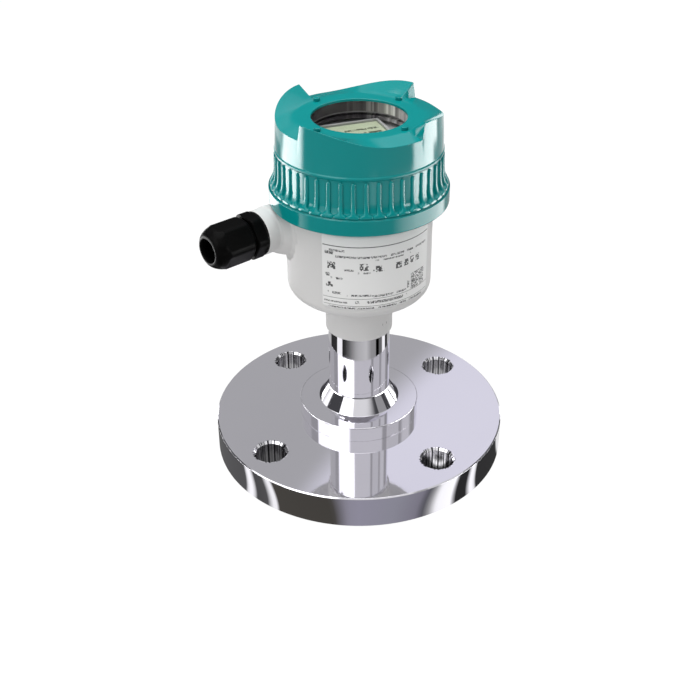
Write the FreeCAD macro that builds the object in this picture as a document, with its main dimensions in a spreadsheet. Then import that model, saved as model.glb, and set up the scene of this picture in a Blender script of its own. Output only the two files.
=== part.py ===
import FreeCAD, Part
import math
import os

import Sketcher

# Radar level transmitter on a drilled process flange.
# The origin is the centre of the sealing face under the flange, and +Z is up.
# The cable gland points along -X, and the bolt holes lie on the X and Y axes.

doc = FreeCAD.newDocument("radar_level_transmitter")
V = FreeCAD.Vector

# Driving dimensions in millimetres and degrees

SIZES = {
    # drilled flange
    "flange_radius": 70, "flange_thickness": 16, "flange_edge": 0.5,
    "bolt_circle_inset": 15, "bolt_hole_radius": 7, "bolt_hole_edge": 1,
    "bolt_hole_count": 4, "flange_bore_radius": 22,
    # antenna behind the sealing face
    "fit_gap": 0.05, "lens_lip_height": 2, "lens_window_radius": 18.5,
    "lens_recess": 0.2, "lens_rim_height": 3, "lens_dome_radius": 15,
    "lens_dome_height": 4, "seal_cord_radius": 0.9, "horn_mouth_radius": 16,
    "horn_length": 37, "horn_wall": 1.8, "horn_foot_height": 2,
    "waveguide_radius": 1.9, "waveguide_wall": 1.6, "waveguide_length": 49.5,
    # polished neck
    "hub_radius": 28.7, "hub_height": 7.5, "cone_radius": 19.4,
    "cone_height": 7.3, "neck_radius": 14.6, "neck_length": 32.9,
    "neck_bore_radius": 8, "neck_bore_cone": 27, "horn_gap": 0.8,
    # swivel between neck and housing
    "swivel_radius": 12.4, "swivel_height": 24.3, "swivel_clearance": 0.08,
    "neck_seal_height": 3.5, "circlip_thickness": 1, "circlip_depth": 1,
    "circlip_reach": 1.2, "circlip_height": 22, "circlip_opening": 50,
    # moulded housing
    "socket_radius": 15.7, "socket_height": 21.3, "socket_rounding": 0.5,
    "housing_radius": 33, "housing_wall": 3, "housing_floor": 3.5,
    "housing_rounding": 5.7, "housing_height": 71,
    "lock_screw_radius": 1.5, "lock_screw_drop": 14.7, "lock_screw_angle": -82,
    # cable entries on two opposite sides
    "entry_offset": 19, "entry_face": 43.2, "entry_boss_radius": 10.2,
    "entry_boss_length": 6.7, "entry_flare_radius": 12, "entry_flare_shift": 4.8,
    "entry_flare_reach": 6.5, "entry_thread_radius": 8, "entry_thread_length": 13,
    "entry_passage_radius": 6.8, "entry_passage_end": 14,
    # cable gland and blanking plug
    "entry_gasket": 0.8, "gland_flats": 19, "gland_hex_height": 5,
    "gland_thread_gap": 0.15, "gland_shank": 11, "gland_spout": 11,
    "gland_bore_radius": 5.2, "gland_cup_radius": 6.9, "gland_cup_depth": 9,
    "nut_gap": 0.6, "nut_flats": 18.2, "nut_length": 13, "nut_dome": 4,
    "nut_dome_radius": 7.6, "nut_mouth_radius": 5.4, "nut_thread_gap": 0.3,
    "insert_gap": 0.35, "insert_bore_radius": 3.2, "insert_length": 11,
    "cage_wall": 1.1, "cage_length": 3.2, "plug_head_radius": 9.6,
    "plug_head_height": 4.5, "plug_slot_width": 2.4, "plug_slot_depth": 2.2,
    # nameplate film
    "label_thickness": 0.15, "label_low": 6, "label_high": 42,
    "label_span": 93, "label_start": -160, "label_gap": 0.02,
    # screwed lid
    "lid_overlap": 26, "lid_boss_gap": 0.8, "lid_thread_gap": 0.4,
    "lid_ring_wall": 6.6, "lid_ring_height": 7.6, "lid_ring_edge": 0.6,
    "lid_flare_radius": 8, "lid_band_wall": 3.8, "lid_band_height": 23.6,
    "lid_flare_height": 13.2, "lid_step_height": 1.3, "lid_upper_wall": 3.3,
    "lid_top_wall": 2.6, "lid_height": 44, "lid_step_rise": 6.7,
    "lid_low_height": 37, "lid_rim_height": 38.2, "lid_hub_radius": 27.5,
    "swirl_count": 4, "swirl_start": -84.5, "swirl_fall": 66,
    "rib_count": 44, "rib_groove_width": 3.4, "rib_groove_depth": 0.9,
    "rib_low": 9.6, "rib_high": 23, "lid_seal_low": 1, "lid_seal_groove": 2.5,
    "lid_seal_reach": 2.2, "lid_seal_radius": 0.95,
    # window in the lid
    "window_radius": 20.7, "window_lip": 1.2, "sleeve_wall": 1.4,
    "sleeve_height": 3.6, "sleeve_foot": 1, "gasket_height": 0.8,
    "pane_radius": 27, "pane_height": 2.2, "retainer_radius": 30.4,
    "retainer_height": 1.6, "retainer_opening": 22, "lid_skirt_ceiling": 32,
    "window_boss_radius": 31, "screw_circle_radius": 28.8,
    "small_screw_radius": 1.1, "small_screw_head": 1.9,
    "small_screw_head_height": 0.9, "small_screw_length": 5,
    "retainer_screw_count": 4,
    # electronics inside the housing
    "insert_clearance": 0.3, "can_foot_opening": 11, "can_corner": 3.5,
    "can_wall": 1.7, "can_floor_height": 3.5,
    "can_height": 19.5, "can_waveguide_gap": 1.5, "board_height": 1.6,
    "board_level": 11.5, "radar_radius": 11, "radar_height": 7,
    "cover_height": 2.5, "terminal_length": 40, "terminal_width": 14,
    "terminal_height": 12, "terminal_back": 24, "pole_count": 4,
    "pole_pitch": 9, "pole_screw_radius": 2.1, "pole_well_depth": 5,
    "pole_screw_height": 1.6, "wire_hole_radius": 2, "wire_hole_depth": 8,
    "wire_hole_level": 4, "post_radius": 2.2, "post_circle_radius": 27,
    "carrier_drop": 18.5, "carrier_width": 5.1, "carrier_height": 3,
    "earth_post_radius": 3, "earth_post_height": 5, "earth_post_along": 14,
    "earth_post_across": 6,
    # display module
    "display_angle": -20, "display_radius": 27.6, "display_wall": 1.6,
    "display_case_height": 11.5, "display_board_height": 1.4,
    "display_ledge": 1.5, "frame_height": 3.9, "frame_plate": 2,
    "hood_height": 2.9, "hood_wall": 1.2, "screen_width": 27.2,
    "screen_low": -6, "screen_high": 14.2, "cover_glass": 1,
    "cover_glass_drop": 0.2, "key_radius": 2.6, "key_rise": 1.3,
    "key_flange": 0.8, "key_gap": 0.3, "key_travel": 0.8, "key_pitch": 8,
    "key_row": -13.5, "key_flange_height": 0.9,
}

sheet = doc.addObject("Spreadsheet::Sheet", "Dims")
for row, (alias, size) in enumerate(SIZES.items(), start=1):
    sheet.set(f"A{row}", alias)
    sheet.set(f"B{row}", str(size))
    sheet.setAlias(f"B{row}", alias)
doc.recompute()


class Cells:
    """Gives the expression text of a sheet cell, such as Dims.flange_radius."""

    def __getattr__(self, alias):
        return f"Dims.{alias}"


d = Cells()


def value(expression):
    """The number that an expression of sheet cells comes to."""
    found = sheet.evalExpression(str(expression))
    return float(getattr(found, "Value", found))


# Modelling helpers

def place(item, x=None, y=None, z=None, turn=None, about=V(0, 0, 1)):
    """Binds an object's placement to expressions; turn is in degrees about an axis."""
    if turn is not None:
        item.Placement = FreeCAD.Placement(V(), FreeCAD.Rotation(about, 1))
        item.setExpression("Placement.Rotation.Angle", str(turn))
    for axis_name, expression in (("x", x), ("y", y), ("z", z)):
        if expression is not None:
            item.setExpression(f"Placement.Base.{axis_name}", str(expression))
    return item


def origin_plane(body, role):
    return [item for item in body.Origin.OriginFeatures if item.Role == role][0]


def pin_point(sketch, edge, end, x, y):
    """Holds one sketch vertex at expressions of x and y, or on an axis where one is 0."""
    if x == "0":
        sketch.addConstraint(Sketcher.Constraint("PointOnObject", edge, end, -2))
    else:
        row = sketch.addConstraint(Sketcher.Constraint("DistanceX", -1, 1, edge, end, value(x)))
        sketch.setExpression(f"Constraints[{row}]", x)
    if y == "0":
        sketch.addConstraint(Sketcher.Constraint("PointOnObject", edge, end, -1))
    else:
        row = sketch.addConstraint(Sketcher.Constraint("DistanceY", -1, 1, edge, end, value(y)))
        sketch.setExpression(f"Constraints[{row}]", y)


def arc_between(start, end, radius, side):
    """An arc from start to end; side 1 puts its centre to the left of the way from start to end."""
    chord = end - start
    height = math.sqrt(max(radius ** 2 - (chord.Length / 2) ** 2, 1e-9))
    left = V(-chord.y, chord.x, 0).normalize()
    centre = (start + end) * 0.5 + left * (height * side)
    first, last = (start, end) if side > 0 else (end, start)
    begin = math.atan2(first.y - centre.y, first.x - centre.x)
    finish = math.atan2(last.y - centre.y, last.x - centre.x)
    if finish < begin:
        finish += 2 * math.pi
    return Part.ArcOfCircle(Part.Circle(centre, V(0, 0, 1), radius), begin, finish)


def draw_outline(sketch, outline):
    """
    Draws a closed outline whose corners are (x, y) expressions.
    A corner (x, y, radius, side) is reached along an arc of that radius.
    """
    corners = [V(value(item[0]), value(item[1]), 0) for item in outline]
    count = len(outline)
    ends = []
    for index in range(count):
        target = outline[(index + 1) % count]
        start, end = corners[index], corners[(index + 1) % count]
        if len(target) == 4:
            radius, side = target[2], target[3]
            edge = sketch.addGeometry(arc_between(start, end, value(radius), side), False)
            row = sketch.addConstraint(Sketcher.Constraint("Radius", edge, value(radius)))
            sketch.setExpression(f"Constraints[{row}]", radius)
            ends.append((edge, 1, 2) if side > 0 else (edge, 2, 1))
        else:
            edge = sketch.addGeometry(Part.LineSegment(start, end), False)
            ends.append((edge, 1, 2))
    for index in range(count):
        edge, first, last = ends[index]
        after = ends[(index + 1) % count]
        sketch.addConstraint(Sketcher.Constraint("Coincident", edge, last, after[0], after[1]))
    for index in range(count):
        edge, first, last = ends[index]
        pin_point(sketch, edge, first, str(outline[index][0]), str(outline[index][1]))


def turned(label, outline):
    """A body turned about its own Z axis from a closed outline of (radius, height) corners."""
    body = doc.addObject("PartDesign::Body", label)
    body.Label = label
    sketch = body.newObject("Sketcher::SketchObject", label + "_profile")
    sketch.AttachmentSupport = [(origin_plane(body, "XZ_Plane"), "")]
    sketch.MapMode = "FlatFace"
    draw_outline(sketch, outline)
    spin = body.newObject("PartDesign::Revolution", label + "_turned")
    spin.Profile = sketch
    spin.ReferenceAxis = (sketch, ["V_Axis"])
    spin.Angle = 360
    sketch.Visibility = False
    doc.recompute()
    return body


def circle_edges(feature, radius, height, tolerance=0.01):
    """Names the round edges about Z of a feature that have this radius and height."""
    names = []
    for index, edge in enumerate(feature.Shape.Edges, start=1):
        curve = edge.Curve
        if not isinstance(curve, Part.Circle) or abs(curve.Axis.z) < 0.99:
            continue
        if abs(curve.Radius - radius) < tolerance and abs(curve.Center.z - height) < tolerance:
            names.append(f"Edge{index}")
    return names


def dress(body, kind, label, edges_at, size):
    """Adds a fillet or chamfer to the round edges at the given (radius, height) expressions."""
    base = body.Tip
    names = []
    for radius, height in edges_at:
        names += circle_edges(base, value(radius), value(height))
    feature = body.newObject(f"PartDesign::{kind}", label)
    feature.Base = (base, names)
    feature.setExpression("Radius" if kind == "Fillet" else "Size", size)
    body.Tip = feature
    doc.recompute()
    return feature


def cylinder(label, radius, height, x="0", y="0", z="0"):
    item = doc.addObject("Part::Cylinder", label)
    item.setExpression("Radius", str(radius))
    item.setExpression("Height", str(height))
    return place(item, x=x, y=y, z=z)


def box(label, length, width, height, x="0", y="0", z="0"):
    item = doc.addObject("Part::Box", label)
    item.setExpression("Length", str(length))
    item.setExpression("Width", str(width))
    item.setExpression("Height", str(height))
    return place(item, x=x, y=y, z=z)


def ring_cord(label, ring_radius, cord_radius, z):
    item = doc.addObject("Part::Torus", label)
    item.setExpression("Radius1", str(ring_radius))
    item.setExpression("Radius2", str(cord_radius))
    return place(item, z=z)


def hexagon(label, flats, height, z="0"):
    item = doc.addObject("Part::Prism", label)
    item.Polygon = 6
    item.setExpression("Circumradius", f"{flats} / sqrt(3)")
    item.setExpression("Height", str(height))
    return place(item, z=z)


def joined(label, items):
    item = doc.addObject("Part::MultiFuse", label)
    item.Shapes = items
    return item


def cut(label, base, tools):
    """Takes one tool or several away from a base."""
    tool = tools[0] if len(tools) == 1 else joined(label + "_tools", tools)
    item = doc.addObject("Part::Cut", label)
    item.Base = base
    item.Tool = tool
    return item


def common(label, first, second):
    item = doc.addObject("Part::Common", label)
    item.Base = first
    item.Tool = second
    return item


def group(label, items):
    """One node of several separate solids."""
    item = doc.addObject("Part::Compound", label)
    item.Links = items
    return item


def around(index, count, start=0.0):
    return math.radians(start + 360.0 * index / count)


exported = {}


def keep(node, item):
    """Names a finished sub-part, which is later written to parts/NODE.step."""
    item.Label = node
    exported[node] = item
    return item


# Heights that the pieces share, from the sealing face up

lens_seat = f"({d.lens_lip_height})"
horn_seat = f"({lens_seat} + {d.lens_rim_height})"
neck_seat = f"({horn_seat} + {d.horn_foot_height})"
hub_top = f"({d.flange_thickness} + {d.hub_height})"
cone_top = f"({hub_top} + {d.cone_height})"
shoulder = f"({cone_top} + {d.neck_length})"
swivel_top = f"({shoulder} + {d.swivel_height})"
horn_top = f"({horn_seat} + {d.horn_length})"
underside = f"({shoulder} + {d.socket_height})"
housing_rim = f"({underside} + {d.housing_height})"
cavity_floor = f"({underside} + {d.housing_floor})"
cavity_radius = f"({d.housing_radius} - {d.housing_wall})"
lid_low = f"({housing_rim} - {d.lid_overlap})"
entry_level = f"({lid_low} - {d.lid_boss_gap} - {d.entry_boss_radius})"

# Flange: a turned stainless plate with a lip that holds the lens from below

flange = turned("flange_plate", [
    (d.lens_window_radius, "0"),
    (d.flange_radius, "0"),
    (d.flange_radius, d.flange_thickness),
    (d.flange_bore_radius, d.flange_thickness),
    (d.flange_bore_radius, lens_seat),
    (d.lens_window_radius, lens_seat),
])
drill = flange.newObject("Sketcher::SketchObject", "bolt_hole_circle")
drill.AttachmentSupport = [(origin_plane(flange, "XY_Plane"), "")]
drill.MapMode = "FlatFace"
bolt_circle = f"({d.flange_radius} - {d.bolt_circle_inset})"
hole_size = value(d.bolt_hole_radius)
hole = drill.addGeometry(Part.Circle(V(value(bolt_circle), 0, 0), V(0, 0, 1), hole_size), False)
pin_point(drill, hole, 3, bolt_circle, "0")
hole_row = drill.addConstraint(Sketcher.Constraint("Radius", hole, hole_size))
drill.setExpression(f"Constraints[{hole_row}]", d.bolt_hole_radius)
bolt_hole = flange.newObject("PartDesign::Pocket", "bolt_hole")
bolt_hole.Profile = drill
bolt_hole.Reversed = True
bolt_hole.setExpression("Length", d.flange_thickness)
flange.Tip = bolt_hole
doc.recompute()
bolt_holes = flange.newObject("PartDesign::PolarPattern", "bolt_holes")
bolt_holes.Originals = [bolt_hole]
bolt_holes.Axis = (origin_plane(flange, "Z_Axis"), [""])
bolt_holes.Angle = 360
bolt_holes.setExpression("Occurrences", d.bolt_hole_count)
flange.Tip = bolt_holes
doc.recompute()
dress(flange, "Chamfer", "bolt_hole_edges",
      [(d.bolt_hole_radius, d.flange_thickness)], d.bolt_hole_edge)
dress(flange, "Chamfer", "flange_edges",
      [(d.flange_radius, d.flange_thickness), (d.flange_radius, "0")], d.flange_edge)
keep("flange", flange)

# Antenna lens: a low-loss plastic disc, flat to the process and domed towards the horn

lens_groove = f"({d.seal_cord_radius} * 2 + 0.1)"
lens_rim = f"({d.flange_bore_radius} - {d.fit_gap})"
lens_groove_low = f"({lens_seat} + ({d.lens_rim_height} - {lens_groove}) / 2)"
lens_groove_floor = f"({d.flange_bore_radius} - {d.seal_cord_radius} * 2 - 0.1)"
lens = turned("lens_disc", [
    ("0", d.lens_recess),
    (f"{d.lens_window_radius} - {d.fit_gap}", d.lens_recess),
    (f"{d.lens_window_radius} - {d.fit_gap}", lens_seat),
    (lens_rim, lens_seat),
    (lens_rim, lens_groove_low),
    (lens_groove_floor, lens_groove_low),
    (lens_groove_floor, f"{lens_groove_low} + {lens_groove}"),
    (lens_rim, f"{lens_groove_low} + {lens_groove}"),
    (lens_rim, horn_seat),
    (d.lens_dome_radius, horn_seat),
    ("0", f"{horn_seat} + {d.lens_dome_height}",
     f"({d.lens_dome_radius} ^ 2 + {d.lens_dome_height} ^ 2) / (2 * {d.lens_dome_height})", 1),
])
keep("antenna_lens", lens)
keep("lens_seal", ring_cord("lens_seal_cord",
                            f"{d.flange_bore_radius} - {d.seal_cord_radius} - {d.fit_gap}",
                            d.seal_cord_radius, f"{lens_groove_low} + {lens_groove} / 2"))

# Horn: a thin turned cone that opens the waveguide towards the lens

horn_tip = f"({d.waveguide_radius} + {d.waveguide_wall})"
horn = turned("horn_turned", [
    (d.horn_mouth_radius, horn_seat),
    (lens_rim, horn_seat),
    (lens_rim, neck_seat),
    (f"{d.horn_mouth_radius} + {d.horn_wall} - 0.7", neck_seat),
    (horn_tip, horn_top),
    (d.waveguide_radius, horn_top),
])
keep("horn_cone", horn)

waveguide = turned("waveguide_drawn", [
    (d.waveguide_radius, horn_top),
    (horn_tip, horn_top),
    (horn_tip, f"{horn_top} + {d.waveguide_length}"),
    (d.waveguide_radius, f"{horn_top} + {d.waveguide_length}"),
])
keep("waveguide_tube", waveguide)

# Process neck: turned hub, cone and tube in one piece, with the swivel spigot on top

seal_groove = f"({d.seal_cord_radius} * 2 + 0.3)"
seal_low = f"({shoulder} + {d.neck_seal_height} - {seal_groove} / 2)"
seal_floor = f"({d.swivel_radius} - {d.seal_cord_radius} * 2 - 0.1)"
clip_low = f"({shoulder} + {d.circlip_height})"
clip_top = f"({clip_low} + {d.circlip_thickness} + 0.1)"
clip_floor = f"({d.swivel_radius} - {d.circlip_depth})"
neck = turned("neck_turned", [
    (f"{d.horn_mouth_radius} + {d.horn_wall} + {d.horn_gap} - 0.6", neck_seat),
    (lens_rim, neck_seat),
    (lens_rim, d.flange_thickness),
    (d.hub_radius, d.flange_thickness),
    (d.hub_radius, hub_top),
    (d.cone_radius, hub_top),
    (d.neck_radius, cone_top),
    (d.neck_radius, shoulder),
    (d.swivel_radius, shoulder),
    (d.swivel_radius, seal_low),
    (seal_floor, seal_low),
    (seal_floor, f"{seal_low} + {seal_groove}"),
    (d.swivel_radius, f"{seal_low} + {seal_groove}"),
    (d.swivel_radius, clip_low),
    (clip_floor, clip_low),
    (clip_floor, clip_top),
    (d.swivel_radius, clip_top),
    (d.swivel_radius, swivel_top),
    (d.neck_bore_radius, swivel_top),
    (d.neck_bore_radius, f"{neck_seat} + {d.neck_bore_cone}"),
])
dress(neck, "Chamfer", "hub_edge", [(d.hub_radius, hub_top)], d.flange_edge)
keep("process_neck", neck)
keep("neck_seal_ring", ring_cord("neck_seal_cord", f"{d.swivel_radius} - {d.seal_cord_radius}",
                                 d.seal_cord_radius, f"{seal_low} + {seal_groove} / 2"))

# Circlip: a flat spring ring with an opening, snapped into the spigot's upper groove

clip_outer = f"({d.swivel_radius} + {d.circlip_reach})"
clip_ring = doc.addObject("Part::Cylinder", "circlip_ring")
clip_ring.setExpression("Radius", clip_outer)
clip_ring.setExpression("Height", d.circlip_thickness)
clip_ring.setExpression("Angle", f"360 - {d.circlip_opening}")
place(clip_ring, z=clip_low)
clip_hole = cylinder("circlip_hole", f"{clip_floor} + {d.fit_gap}", f"{d.circlip_thickness} * 3",
                     z=f"{clip_low} - {d.circlip_thickness}")
keep("swivel_circlip", cut("circlip_cut", clip_ring, [clip_hole]))

# Housing: a moulded pot with a socket for the neck and a plain top that the lid screws over

socket_bore = f"({d.swivel_radius} + {d.swivel_clearance})"
clip_pocket = f"({clip_outer} + 0.4)"
pot = turned("housing_pot", [
    (socket_bore, shoulder),
    (d.socket_radius, shoulder),
    (d.socket_radius, underside),
    (d.housing_radius, underside),
    (d.housing_radius, housing_rim),
    (cavity_radius, housing_rim),
    (cavity_radius, cavity_floor),
    (clip_pocket, cavity_floor),
    (clip_pocket, clip_low),
    (socket_bore, clip_low),
])
dress(pot, "Fillet", "housing_outer_rounding", [(d.housing_radius, underside)],
      f"min({d.housing_rounding}; {d.housing_radius} - {d.socket_radius} - 0.5)")
dress(pot, "Fillet", "housing_inner_rounding", [(cavity_radius, cavity_floor)],
      f"min({d.housing_rounding} - {d.housing_wall}; {cavity_radius} - {clip_pocket} - 0.5)")
dress(pot, "Fillet", "socket_rounding_edge", [(d.socket_radius, shoulder)], d.socket_rounding)

# Cable entries: a round boss on each side, flared back into the housing's wall

boss_root = f"({d.entry_face} - {d.entry_boss_length})"
entry_top = f"({entry_level} + {d.entry_boss_radius})"
flare_sections = [
    (boss_root, f"({d.entry_boss_radius} - 0.3)", f"({d.entry_offset} - 0.2)"),
    (f"({boss_root} - {d.entry_flare_reach})", d.entry_flare_radius,
     f"({d.entry_offset} - {d.entry_flare_shift})"),
    (f"({d.housing_radius} * 0.6)", f"({d.entry_flare_radius} + 0.6)",
     f"({d.entry_offset} - {d.entry_flare_shift} - 0.8)"),
]


def cable_entry(name, side):
    """
    The boss and flare of one entry, and the bores through it; side is -1 or 1 along X.
    The flare reaches inside the pot, so the cavity's core is taken out of it.
    """
    quarter = 90 * side
    sections = []
    for index, (along, radius, across) in enumerate(flare_sections):
        ring = doc.addObject("Part::Circle", f"{name}_section_{index}")
        ring.setExpression("Radius", str(radius))
        place(ring, x=f"{along} * {side}", y=across, z=f"{entry_top} - {radius} - 0.2",
              turn=quarter, about=V(0, 1, 0))
        sections.append(ring)
    flare = doc.addObject("Part::Loft", f"{name}_flare")
    flare.Sections = sections
    flare.Solid = True
    flare.Ruled = True
    boss = cylinder(f"{name}_boss", d.entry_boss_radius,
                    f"{d.entry_face} - {d.entry_passage_end}")
    place(boss, x=f"{d.entry_passage_end} * {side}", y=d.entry_offset, z=entry_level,
          turn=quarter, about=V(0, 1, 0))
    metal = []
    for piece in (flare, boss):
        core = cylinder(f"{piece.Name}_core", cavity_radius, f"{d.housing_height} * 0.75",
                        z=f"{housing_rim} - {d.housing_height} * 0.75")
        metal.append(cut(f"{piece.Name}_outside", piece, [core]))
    thread = cylinder(f"{name}_thread", d.entry_thread_radius, f"{d.entry_thread_length} + 1")
    place(thread, x=f"({d.entry_face} - {d.entry_thread_length}) * {side}", y=d.entry_offset,
          z=entry_level, turn=quarter, about=V(0, 1, 0))
    passage = cylinder(f"{name}_passage", d.entry_passage_radius,
                       f"{d.entry_face} - {d.entry_passage_end}")
    place(passage, x=f"{d.entry_passage_end} * {side}", y=d.entry_offset, z=entry_level,
          turn=quarter, about=V(0, 1, 0))
    return metal, [thread, passage]


gland_metal, gland_bores = cable_entry("gland_side", -1)
plug_metal, plug_bores = cable_entry("plug_side", 1)

lock_level = f"({underside} - {d.lock_screw_drop})"
lock_hole = cylinder("lock_screw_hole", d.lock_screw_radius,
                     f"{d.socket_radius} - {socket_bore} + 2", z=lock_level)
lock_screw = cylinder("lock_screw_blank", f"{d.lock_screw_radius} - {d.fit_gap}",
                      f"{d.socket_radius} - {socket_bore} - 0.35", z=lock_level)
lock_socket = hexagon("lock_screw_socket", f"{d.lock_screw_radius}", "1.2", z=lock_level)


def point_outwards(item, angle, radius, z):
    """Lays an upright piece down along a radius; angle in degrees is read from the sheet."""
    turn_out = FreeCAD.Rotation(V(0, 0, 1), value(angle)) * FreeCAD.Rotation(V(0, 1, 0), 90)
    item.Placement = FreeCAD.Placement(V(), turn_out)
    item.setExpression("Placement.Base.x", f"{radius} * cos({angle} * 1deg)")
    item.setExpression("Placement.Base.y", f"{radius} * sin({angle} * 1deg)")
    item.setExpression("Placement.Base.z", z)


point_outwards(lock_hole, d.lock_screw_angle, f"({socket_bore} - 1)", lock_level)
point_outwards(lock_screw, d.lock_screw_angle, f"({socket_bore} + 0.3)", lock_level)
point_outwards(lock_socket, d.lock_screw_angle, f"({d.socket_radius} - 1.1)", lock_level)

solid_pot = joined("housing_with_entries", [pot] + gland_metal + plug_metal)
keep("housing_body", cut("housing_moulding", solid_pot, [lock_hole] + gland_bores + plug_bores))
keep("swivel_lock_screw", cut("lock_screw_cut", lock_screw, [lock_socket]))

# Nameplate: a thin film wrapped round the front of the housing

label_low = f"({underside} + {d.label_low})"
label_height = f"({d.label_high} - {d.label_low})"
label_film = doc.addObject("Part::Cylinder", "label_film")
label_film.setExpression("Radius", f"{d.housing_radius} + {d.label_gap} + {d.label_thickness}")
label_film.setExpression("Height", label_height)
label_film.setExpression("Angle", d.label_span)
place(label_film, z=label_low, turn=d.label_start)
label_core = cylinder("label_core", f"{d.housing_radius} + {d.label_gap}", f"{label_height} * 3",
                      z=f"{label_low} - {label_height}")
keep("nameplate_label", cut("label_cut", label_film, [label_core]))

# Cable gland and blanking plug, each turned about its own axis, which then lies along X


def along_entry(item, side, start):
    """Lays a piece that was turned about Z on an entry's axis, starting at a distance from Z."""
    return place(item, x=f"{start} * {side}", y=d.entry_offset, z=entry_level,
                 turn=90 * side, about=V(0, 1, 0))


shank_radius = f"({d.entry_thread_radius} - {d.gland_thread_gap})"
gland_face = f"({d.entry_face} + {d.entry_gasket})"


def entry_gasket(node, side):
    ring = turned(node + "_ring", [
        (d.entry_thread_radius, "0"),
        (f"{d.entry_boss_radius} - 0.2", "0"),
        (f"{d.entry_boss_radius} - 0.2", d.entry_gasket),
        (d.entry_thread_radius, d.entry_gasket),
    ])
    keep(node, along_entry(ring, side, d.entry_face))


entry_gasket("gland_gasket", -1)
entry_gasket("plug_seal", 1)

spout_top = f"({d.gland_hex_height} + {d.gland_spout})"
gland_core = turned("gland_core", [
    (d.gland_bore_radius, "0"),
    (shank_radius, "0"),
    (shank_radius, f"{d.gland_shank} + {spout_top}"),
    (d.gland_cup_radius, f"{d.gland_shank} + {spout_top}"),
    (d.gland_cup_radius, f"{d.gland_shank} + {spout_top} - {d.gland_cup_depth}"),
    (d.gland_bore_radius, f"{d.gland_shank} + {spout_top} - {d.gland_cup_depth} - 1"),
])
along_entry(gland_core, -1, f"({gland_face} - {d.gland_shank})")
gland_hex = along_entry(hexagon("gland_hex", d.gland_flats, d.gland_hex_height), -1, gland_face)
hex_round = turned("gland_hex_rounding", [
    (d.gland_bore_radius, "0"),
    (f"{d.gland_flats} / sqrt(3) - 0.25", "0"),
    (f"{d.gland_flats} / sqrt(3) - 0.25", f"{d.gland_hex_height} - 1.2"),
    (f"{d.gland_flats} / 2 - 0.2", d.gland_hex_height),
    (d.gland_bore_radius, d.gland_hex_height),
])
along_entry(hex_round, -1, gland_face)
gland_grip = common("gland_grip", gland_hex, hex_round)
keep("gland_body", joined("gland_moulding", [gland_core, gland_grip]))

# Sealing insert and clamping cage: they are drawn out with the nut

cup_floor = f"({gland_face} + {spout_top} - {d.gland_cup_depth})"
insert_radius = f"({d.gland_cup_radius} - {d.insert_gap})"
insert_start = f"({cup_floor} + {d.insert_gap})"
insert = turned("insert_moulding", [
    (d.insert_bore_radius, "0"),
    (f"{insert_radius} - 0.8", "0"),
    (insert_radius, "0.8"),
    (insert_radius, f"{d.insert_length} - {d.cage_length}"),
    (f"{insert_radius} - {d.cage_wall}", f"{d.insert_length} - {d.cage_length} + 0.3"),
    (f"{insert_radius} - {d.cage_wall}", f"{d.insert_length}"),
    (d.insert_bore_radius, f"{d.insert_length}"),
])
keep("gland_seal_insert", along_entry(insert, -1, insert_start))
cage_blank = turned("cage_blank", [
    (f"{insert_radius} - {d.cage_wall} + 0.1", "0"),
    (insert_radius, "0"),
    (f"{insert_radius} - 0.3", d.cage_length),
    (f"{insert_radius} - {d.cage_wall} + 0.1", d.cage_length),
])
cage_slots = []
for index in range(4):
    slot = box(f"cage_slot_{index}", f"{insert_radius} * 3", "0.8", f"{d.cage_length}")
    place(slot, x=f"-1.5 * {insert_radius} * cos({45 * index} * 1deg)"
                  f" + 0.4 * sin({45 * index} * 1deg)",
          y=f"-1.5 * {insert_radius} * sin({45 * index} * 1deg)"
            f" - 0.4 * cos({45 * index} * 1deg)",
          z="1", turn=45 * index)
    cage_slots.append(slot)
cage = cut("cage_cut", cage_blank, cage_slots)
keep("gland_clamp_cage",
     along_entry(cage, -1, f"({insert_start} + {d.insert_length} - {d.cage_length} + 0.35)"))

# Gland nut: a domed hexagon cap with an open mouth for the cable

nut_start = f"({gland_face} + {d.gland_hex_height} + {d.nut_gap})"
nut_bore = f"({d.entry_thread_radius} - {d.gland_thread_gap} + {d.nut_thread_gap})"
nut_depth = f"({d.nut_length} + {d.nut_dome} - 2)"
nut_outline = turned("nut_rounding", [
    ("0", "0"),
    (f"{d.nut_flats} / sqrt(3) - 0.7", "0"),
    (f"{d.nut_flats} / sqrt(3) - 0.15", "0.6"),
    (f"{d.nut_flats} / sqrt(3) - 0.15", f"{d.nut_length} - 1.2"),
    (f"{d.nut_flats} / 2 - 0.1", d.nut_length),
    (d.nut_dome_radius, f"{d.nut_length} + {d.nut_dome} - 0.6"),
    (f"{d.nut_dome_radius} - 0.8", f"{d.nut_length} + {d.nut_dome}"),
    ("0", f"{d.nut_length} + {d.nut_dome}"),
])
nut_hex = hexagon("nut_hex", d.nut_flats, f"{d.nut_length} + {d.nut_dome}")
nut_hollow = turned("nut_hollow", [
    ("0", "0"),
    (nut_bore, "0"),
    (nut_bore, f"{d.nut_length} - 2"),
    (f"{d.nut_mouth_radius} + 0.6", nut_depth),
    (d.nut_mouth_radius, f"{nut_depth} + 0.8"),
    (d.nut_mouth_radius, f"{nut_depth} + 3"),
    ("0", f"{nut_depth} + 3"),
])
nut = cut("nut_moulding", common("nut_outer", nut_hex, nut_outline), [nut_hollow])
keep("gland_nut", along_entry(nut, -1, nut_start))

# Blanking plug: closes the second entry

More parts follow.
